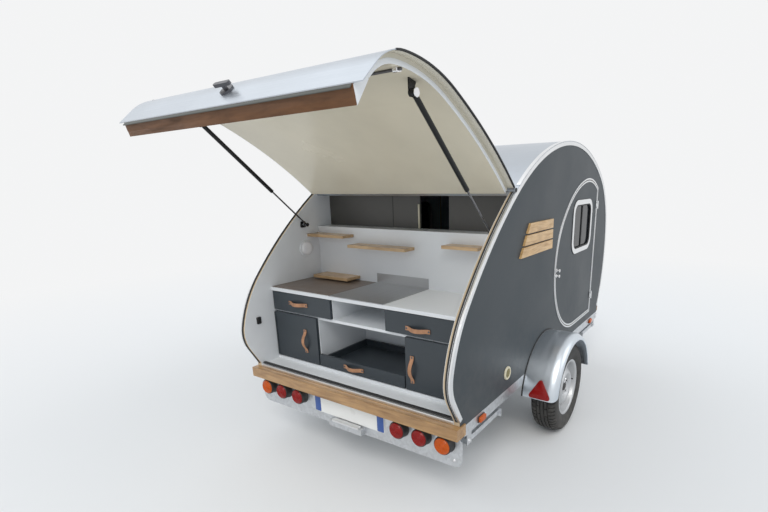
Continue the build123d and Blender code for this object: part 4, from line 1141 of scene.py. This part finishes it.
# Leather pulls on the galley's fronts. Each row: body, upright, fixed coordinate, from, to
leatherPulls = {
    "face": 91.2, "sink": 1.8, "width": 22, "thick": 3.4, "rise": 27, "edge": 1.0,
    "rows": [
        ("drawer_left", False, 868, 547, 387), ("drawer_right", False, 848, -337, -488),
        ("cupboard_left", True, 425, 714, 568), ("cupboard_right", True, -372, 700, 549),
        ("galley_tray", False, 542, 119, -30),
    ],
    # part of the length, part of the rise
    "shape": [(0, 0.05), (0.10, 0.05), (0.16, 0.16), (0.23, 0.42), (0.31, 0.72), (0.40, 0.92), (0.5, 1.0),
              (0.60, 0.92), (0.69, 0.72), (0.77, 0.42), (0.84, 0.16), (0.90, 0.05), (1, 0.05)],
    "flatLift": 0.05, "studAt": (0.05, 0.95), "studLift": 1.5,
    "stud": [(0, 5.5), (1.2, 5.3), (2.4, 3.8), (2.9, 0)],
}


def addLeatherPull(body, upright, fixed, first, last):
    half = leatherPulls["width"] / 2
    base = leatherPulls["face"] - leatherPulls["sink"]

    def place(part, lift, offset):
        x, along = base - lift, first + (last - first) * part
        return spot(x, fixed + offset, along) if upright else spot(x, along, fixed + offset)

    spots = [place(part, lift * leatherPulls["rise"], -half) for part, lift in leatherPulls["shape"]]
    across = (0, 2 * half, 0) if upright else (0, 0, 2 * half)
    lift = leatherPulls["flatLift"] * leatherPulls["rise"] + leatherPulls["studLift"]
    studs = [turned(leatherPulls["stud"], place(part, lift, 0), (-1, 0, 0), 20)
             for part in leatherPulls["studAt"]]
    strap = ribbon(spots, across, leatherPulls["thick"], degrees=50)
    smooth(bevelled(strap, leatherPulls["edge"], 2, 60), 55)
    words = "".join(part.capitalize() for part in body.split("_"))
    finished(strap, f"leatherPull{words}", body, "leather", "black_rubber")
    finished(joined(*studs), f"pullStuds{words}", body, "darkSteel", "black_cast_steel")


for row in leatherPulls["rows"]:
    addLeatherPull(*row)
print("stage: galley pulls")

# Round vents low on the walls
vent = {
    "place": (468, 549), "radius": 25.5, "barEvery": 6.4, "barHalf": 1.1, "bars": (1, 6.5),
    "ring": [(0, 38), (3, 38), (6, 37), (8, 34.5), (8.5, 32), (8, 28), (6, 26), (1, 25.5), (0, 25.5)],
    "mesh": [(0, 0), (0, 26), (1.5, 26), (1.5, 0)],
}
# The galley's opal lamp and its socket on the left wall
galleyLamp = {
    "place": (396, 1153), "steps": 56,
    "ring": [(0, 0), (0, 55), (4, 55), (8, 53), (9, 50), (9, 46), (7, 45), (7, 0)],
    "dome": [(6, 45), (12, 44), (17, 39), (20.5, 30), (22, 16), (22, 0)],
}
wallSocket = {
    "plate": [(-44, 693, 740), (-14, 700, 784)], "well": (-29, 693, 762),
    "wellShape": [(0, 0), (0, 12), (2.2, 12), (3, 11), (1, 9), (1, 0)],
}


def addVents():
    rings, grilles = [], []
    x, height = vent["place"]
    for side, name in sides:
        centre = spot(x, side * halfWidth, height)
        rings.append(turned(vent["ring"], centre, (0, side, 0), 56))
        grilles.append(turned(vent["mesh"], centre, (0, side, 0), 40))
        low, high = span(side, *[halfWidth + reach for reach in vent["bars"]])
        for step in range(-3, 4):
            rise = step * vent["barEvery"]
            half = math.sqrt(vent["radius"] ** 2 - rise ** 2)
            z = height + rise
            corners = (x - half, low, z - vent["barHalf"]), (x + half, high, z + vent["barHalf"])
            grilles.append(box(*corners, 0.5, 1))
    return joined(*rings), joined(*grilles)


ventRings, ventGrilles = addVents()
lampCentre = spot(galleyLamp["place"][0], innerHalf, galleyLamp["place"][1])
lampRing, lampDome = [turned(galleyLamp[key], lampCentre, (0, -1, 0), galleyLamp["steps"])
                      for key in ("ring", "dome")]
finished(ventRings, "ventRings", "trailer", "creamPlastic", "white_board", "side_vents")
finished(ventGrilles, "ventGrilles", "trailer", "brassMesh", "black_cast_steel")
finished(lampRing, "galleyLampRing", "trailer", "whiteBoard", "white_board")
finished(lampDome, "galleyLampDome", "trailer", "lampGlass", "white_plate")
socketPlate = roundPlate(*wallSocket["plate"], 1, 5, 1.2)
socketWell = turned(wallSocket["wellShape"], spot(*wallSocket["well"]), (0, -1, 0), 32)
finished(joined(socketPlate, socketWell), "galleySocket", "trailer", "blackPlastic", "black_plastic")
print("stage: vents and galley lamp")

# Cabin doors: gap seal, window seals, mullion, latch knobs, hinge screws
cabinDoor = {
    "gapInset": 3, "gapWide": 4.4, "gapDepth": (712, 731),
    "gapCorners": [(2075, 1490), (2075, 524), (1640, 524)],
    "window": (1721, 1243.5),
    # width, height and corner of the loop, distance from the wall's face, radius
    "seals": [(392, 299, 59, -1, 6.5), (466, 373, 93, 0.5, 2.6)],
    "mullionHalf": 7, "mullionHeights": (1095, 1392), "mullionDepth": (-9, -2),
    "knobs": [(1203, 998), (1203, 962)],
    "knob": [(0, 0), (0, 12), (2, 12), (3.4, 11), (4, 7), (13.5, 6.6), (15, 10), (18, 11.2), (22, 10.6),
             (24.2, 8), (24.6, 0)],
    "hingeStation": 2075, "hingeHeights": (657, 1376), "screwReach": 19, "screwFace": 741,
    "screw": [(-1, 4.6), (0.4, 4.4), (1.4, 3.0), (1.8, 1.4), (0.6, 1.1), (0.6, 0)],
}


def roundLoop(middle, width, height, corner, steps=8):
    result = []
    for quarter, (sx, sz) in enumerate([(1, 1), (-1, 1), (-1, -1), (1, -1)]):
        for step in range(steps + 1):
            angle = math.pi / 2 * (quarter + step / steps)
            result.append((middle[0] + sx * (width / 2 - corner) + corner * math.cos(angle),
                           middle[1] + sz * (height / 2 - corner) + corner * math.sin(angle)))
    return result


def addGapSeal(side, word):
    path = arcPoints(doorOutline, 0, 4, cabinDoor["gapInset"], 22) + cabinDoor["gapCorners"]
    gapSeal = bandAlong(path, side, *cabinDoor["gapDepth"], cabinDoor["gapWide"])
    finished(gapSeal, f"doorGapSeal{word}", "trailer", "blackRubber", "black_rubber")


def addWindowSeals(side, name, word):
    pieces = []
    for width, height, corner, reach, radius in cabinDoor["seals"]:
        loop = roundLoop(cabinDoor["window"], width, height, corner)
        pieces.append(wire([spot(x, side * (halfWidth + reach), z) for x, z in loop], radius, True))
    lowY, highY = span(side, *[halfWidth + depth for depth in cabinDoor["mullionDepth"]])
    middle, half = cabinDoor["window"][0], cabinDoor["mullionHalf"]
    low, high = cabinDoor["mullionHeights"]
    pieces.append(box((middle - half, lowY, low), (middle + half, highY, high), 2))
    finished(joined(*pieces), f"windowSeal{word}", f"door_{name}", "blackRubber", "black_rubber")


def addLatch(side, name, word):
    knobs = [turned(cabinDoor["knob"], spot(x, side * halfWidth, z), (0, side, 0), 36)
             for x, z in cabinDoor["knobs"]]
    finished(joined(*knobs), f"doorLatch{word}", f"door_{name}", "chrome", "galvanised_steel")


def addHingeScrews(side, word, way, body, label):
    screws = []
    reach = cabinDoor["screwReach"]
    for z in cabinDoor["hingeHeights"]:
        for rise in (-reach, reach):
            centre = spot(cabinDoor["hingeStation"] + way * reach, side * cabinDoor["screwFace"], z + rise)
            screws.append(turned(cabinDoor["screw"], centre, (0, side, 0), 18))
    finished(joined(*screws), f"{label}HingeScrews{word}", body, "darkSteel", "black_cast_steel")


for side, name in sides:
    word = name.capitalize()
    addGapSeal(side, word)
    addWindowSeals(side, name, word)
    addLatch(side, name, word)
    addHingeScrews(side, word, 1, "trailer", "body")
    addHingeScrews(side, word, -1, f"door_{name}", "door")
print("stage: cabin doors")

# Edge angles over the roof sheet, the joint strip on the front and the hinge's end caps
roofTrim = {
    "band": (716, 738.2), "angleInset": -3.9, "angleSheet": 1.8, "hingeGap": 45,
    "jointHeight": 1500, "jointHalf": 13, "jointFrom": 1900, "jointReach": 715,
    "jointInset": -4, "jointSheet": 2.4,
    "cap": [(0, 0), (0, 10.5), (2.5, 10.5), (3.5, 9), (3.5, 0)],
}


def addRoofAngles():
    path = arcPoints(bodyOutline, 0, hingeNode, roofTrim["angleInset"])
    while math.dist(path[-1], pivotPoint) < roofTrim["hingeGap"]:
        path.pop()
    angles = [bandAlong(path, side, *roofTrim["band"], roofTrim["angleSheet"], 0.6) for side, name in sides]
    finished(joined(*angles), "roofEdgeAngles", "trailer", "trimAlu", "sheet_aluminium")


def addFrontJoint():
    reach, height = roofTrim["jointReach"], roofTrim["jointHeight"]
    path = [p for p in arcPoints(bodyOutline, 1, 3, roofTrim["jointInset"], 6)
            if abs(p[1] - height) < roofTrim["jointHalf"] and p[0] > roofTrim["jointFrom"]]
    strip = bandAlong(path, 1, -reach, reach, roofTrim["jointSheet"], 0.9)
    finished(strip, "frontJointStrip", "trailer", "trimAlu", "sheet_aluminium")


def addHingeCaps():
    x, z = pivotPoint
    caps = [turned(roofTrim["cap"], spot(x, side * halfWidth, z), (0, side, 0), 32) for side, name in sides]
    finished(joined(*caps), "hingeEndCaps", "trailer", "blackRubber", "black_rubber")


# Pale dome on the roof: a base and a lid, each with its half width and its heights
roofDome = {"station": 1500, "base": (148, 1786, 1808), "lid": (136, 1807, 1819.5)}


def domePlate(key, corner, edge):
    x = roofDome["station"]
    half, low, high = roofDome[key]
    return roundPlate((x - half, -half, low), (x + half, half, high), 2, corner, edge)


addRoofAngles()
addFrontJoint()
addHingeCaps()
domeBase = domePlate("base", 34, 4)
domeLid = soften(domePlate("lid", 40, 0), 9, 4, 50)
finished(domeBase, "roofVentBase", "trailer", "plateWhite", "white_plate", "roof_vent")
finished(domeLid, "roofVentLid", "trailer", "lampGlass", "white_plate")
print("stage: roof fittings")


def hexBolt(centre, axis, size=8.5, height=7.0):
    axis = Vector(axis)
    wide, rounded = size * 1.35, size * 1.25
    washer = turned([(0, 0), (0, wide), (1.4, wide), (1.8, rounded), (1.8, 0)], centre, axis, 24)
    head = rod(centre + axis * 1.5 * mm, centre + axis * height * mm, size, 6, 0.8)
    return [washer, head]


# Bolts of the chassis, the lamp plate, the stands and the coupling, on each side.
# Each row: places as station, distance from the middle and height; whether they face the rear; size; height
boltRows = [
    ([(station, 735, z) for station in (782, 1542, 2322) for z in (408, 434)], False, 8.5, 7),
    ([(-22, y, z) for y, z in ((690, 374), (560, 374), (300, 374), (690, 262))], True, 5.5, 5),
    ([(station, 735, 350) for station in (45, 2270)], False, 8, 7),
    ([(station, 35, 301) for station in (3270, 3335)], False, 9, 8),
]
bolts = []
for side, name in sides:
    for places, facesRear, size, height in boltRows:
        for station, y, z in places:
            axis = (-1, 0, 0) if facesRear else (0, side, 0)
            bolts += hexBolt(spot(station, side * y, z), axis, size, height)
finished(joined(*bolts), "chassisBolts", "trailer", "chrome", "galvanised_steel")

# Straps that hold the cable to the drawbar
cableTie = {
    "stations": (2420, 2700, 3080), "radius": 1.8,
    "loop": [(-36.4, 264.6), (36.4, 264.6), (36.4, 337), (-4, 337.5), (-6, 348.5), (-18, 348.5), (-20, 337.5),
             (-36.4, 337)],
}
ties = [wire([spot(station, y, z) for y, z in cableTie["loop"]], cableTie["radius"], True)
        for station in cableTie["stations"]]
finished(joined(*ties), "cableTies", "trailer", "blackPlastic", "black_plastic")

# Plug in its holder
plugShape = {
    "place": (3205, -12, 358),
    "profile": [(-2, 0), (-2, 12), (0, 18), (4, 22.5), (14, 22.5), (15, 24), (18, 24), (19, 22.5), (32, 22.5),
                (33, 24), (36, 24), (37, 22.5), (46, 22.5), (52, 20), (53, 0)],
}
plug = turned(plugShape["profile"], spot(*plugShape["place"]), (1, 0, 0), 40)
finished(plug, "trailerPlug", "trailer", "blackPlastic", "black_plastic", "cable_plug")

# Jockey wheel: clamp screw, collars and grip on the mast, tyre, hub and axle nuts
jockey = {
    "station": 2960, "y": 88, "trail": 22, "radius": 100,
    "clampHeight": 376, "clampScrew": (30, 62), "screwRadius": 6, "barAt": 60, "barHalf": 42, "barRadius": 5,
    "collarHeights": (222, 600), "collar": [(0, 23.5), (0, 27), (2, 28), (10, 28), (12, 27), (12, 23.5)],
    "crank": 102, "gripHeight": 663,
    "grip": [(0, 9.5), (0, 12.5), (3, 14), (40, 15), (66, 14), (74, 11), (78, 0), (0, 0), (0, 9.5)],
    "tyre": [(-21, 76), (-23, 84), (-21.5, 92), (-17, 97.5), (-11, 99.6), (-10, 97.2), (-8, 97.2), (-7, 99.9),
             (7, 99.9), (8, 97.2), (10, 97.2), (11, 99.6), (17, 97.5), (21.5, 92), (23, 84), (21, 76),
             (-21, 76)],
    "hub": [(-25, 8.3), (-25, 17), (-23, 18), (-9, 20), (-7, 26), (-7, 56), (-10, 64), (-19, 70), (-21, 76.5),
            (21, 76.5), (19, 70), (10, 64), (7, 56), (7, 26), (9, 20), (23, 18), (25, 17), (25, 8.3),
            (-25, 8.3)],
    "nutAt": 36,
}
upright = (0, 0, 1)


def addJockeyClamp():
    x, y, z = jockey["station"], jockey["y"], jockey["clampHeight"]
    ends = [spot(x, y + reach, z) for reach in jockey["clampScrew"]]
    screw = rod(*ends, jockey["screwRadius"], 20, 0.5)
    ends = [spot(x + reach, y + jockey["barAt"], z) for reach in (-jockey["barHalf"], jockey["barHalf"])]
    bar = rod(*ends, jockey["barRadius"], 16, 1)
    finished(joined(screw, bar), "jockeyClampScrew", "trailer", "chrome", "galvanised_steel")


def addJockeyMast():
    x, y = jockey["station"], jockey["y"]
    collars = [turned(jockey["collar"], spot(x, y, z), upright, 40) for z in jockey["collarHeights"]]
    finished(joined(*collars), "jockeyMastCollars", "jockey_mast", "zinc", "galvanised_steel")
    grip = turned(jockey["grip"], spot(x + jockey["crank"], y, jockey["gripHeight"]), upright, 32)
    finished(grip, "jockeyCrankGrip", "jockey_mast", "blackPlastic", "black_plastic")


def addJockeyWheel():
    centre = spot(jockey["station"] - jockey["trail"], jockey["y"], jockey["radius"])
    tyrePiece = turned(jockey["tyre"], centre, (0, 1, 0), 72)
    finished(tyrePiece, "jockeyTyre", "jockey_wheel", "blackRubber", "black_rubber", "jockey_wheel")
    hub = turned(jockey["hub"], centre, (0, 1, 0), 64)
    finished(hub, "jockeyHub", "jockey_wheel", "plateWhite", "white_plate")
    nuts = []
    for way in (1, -1):
        nuts += hexBolt(centre + Vector((0, way * jockey["nutAt"] * mm, 0)), (0, way, 0), 11, 10)
    finished(joined(*nuts), "jockeyAxleNuts", "jockey_fork", "chrome", "galvanised_steel")


addJockeyClamp()
addJockeyMast()
addJockeyWheel()
print("stage: drawbar fittings")

# Galley's upper panels: the pale edge by the dark opening and one joint
upperPanel = {"edge": [(632, -60, 1291), (640, -49, 1436)], "joint": [(639, 146, 1290.5), (641, 150, 1510)]}
openingEdge = box(*upperPanel["edge"], 1)
finished(openingEdge, "openingEdge", "trailer", "creamPlastic", "cream_plastic")
jointLine = box(*upperPanel["joint"], 0)
finished(jointLine, "upperPanelJoint", "trailer", "blackRubber", "black_rubber")
print("stage: galley linings")
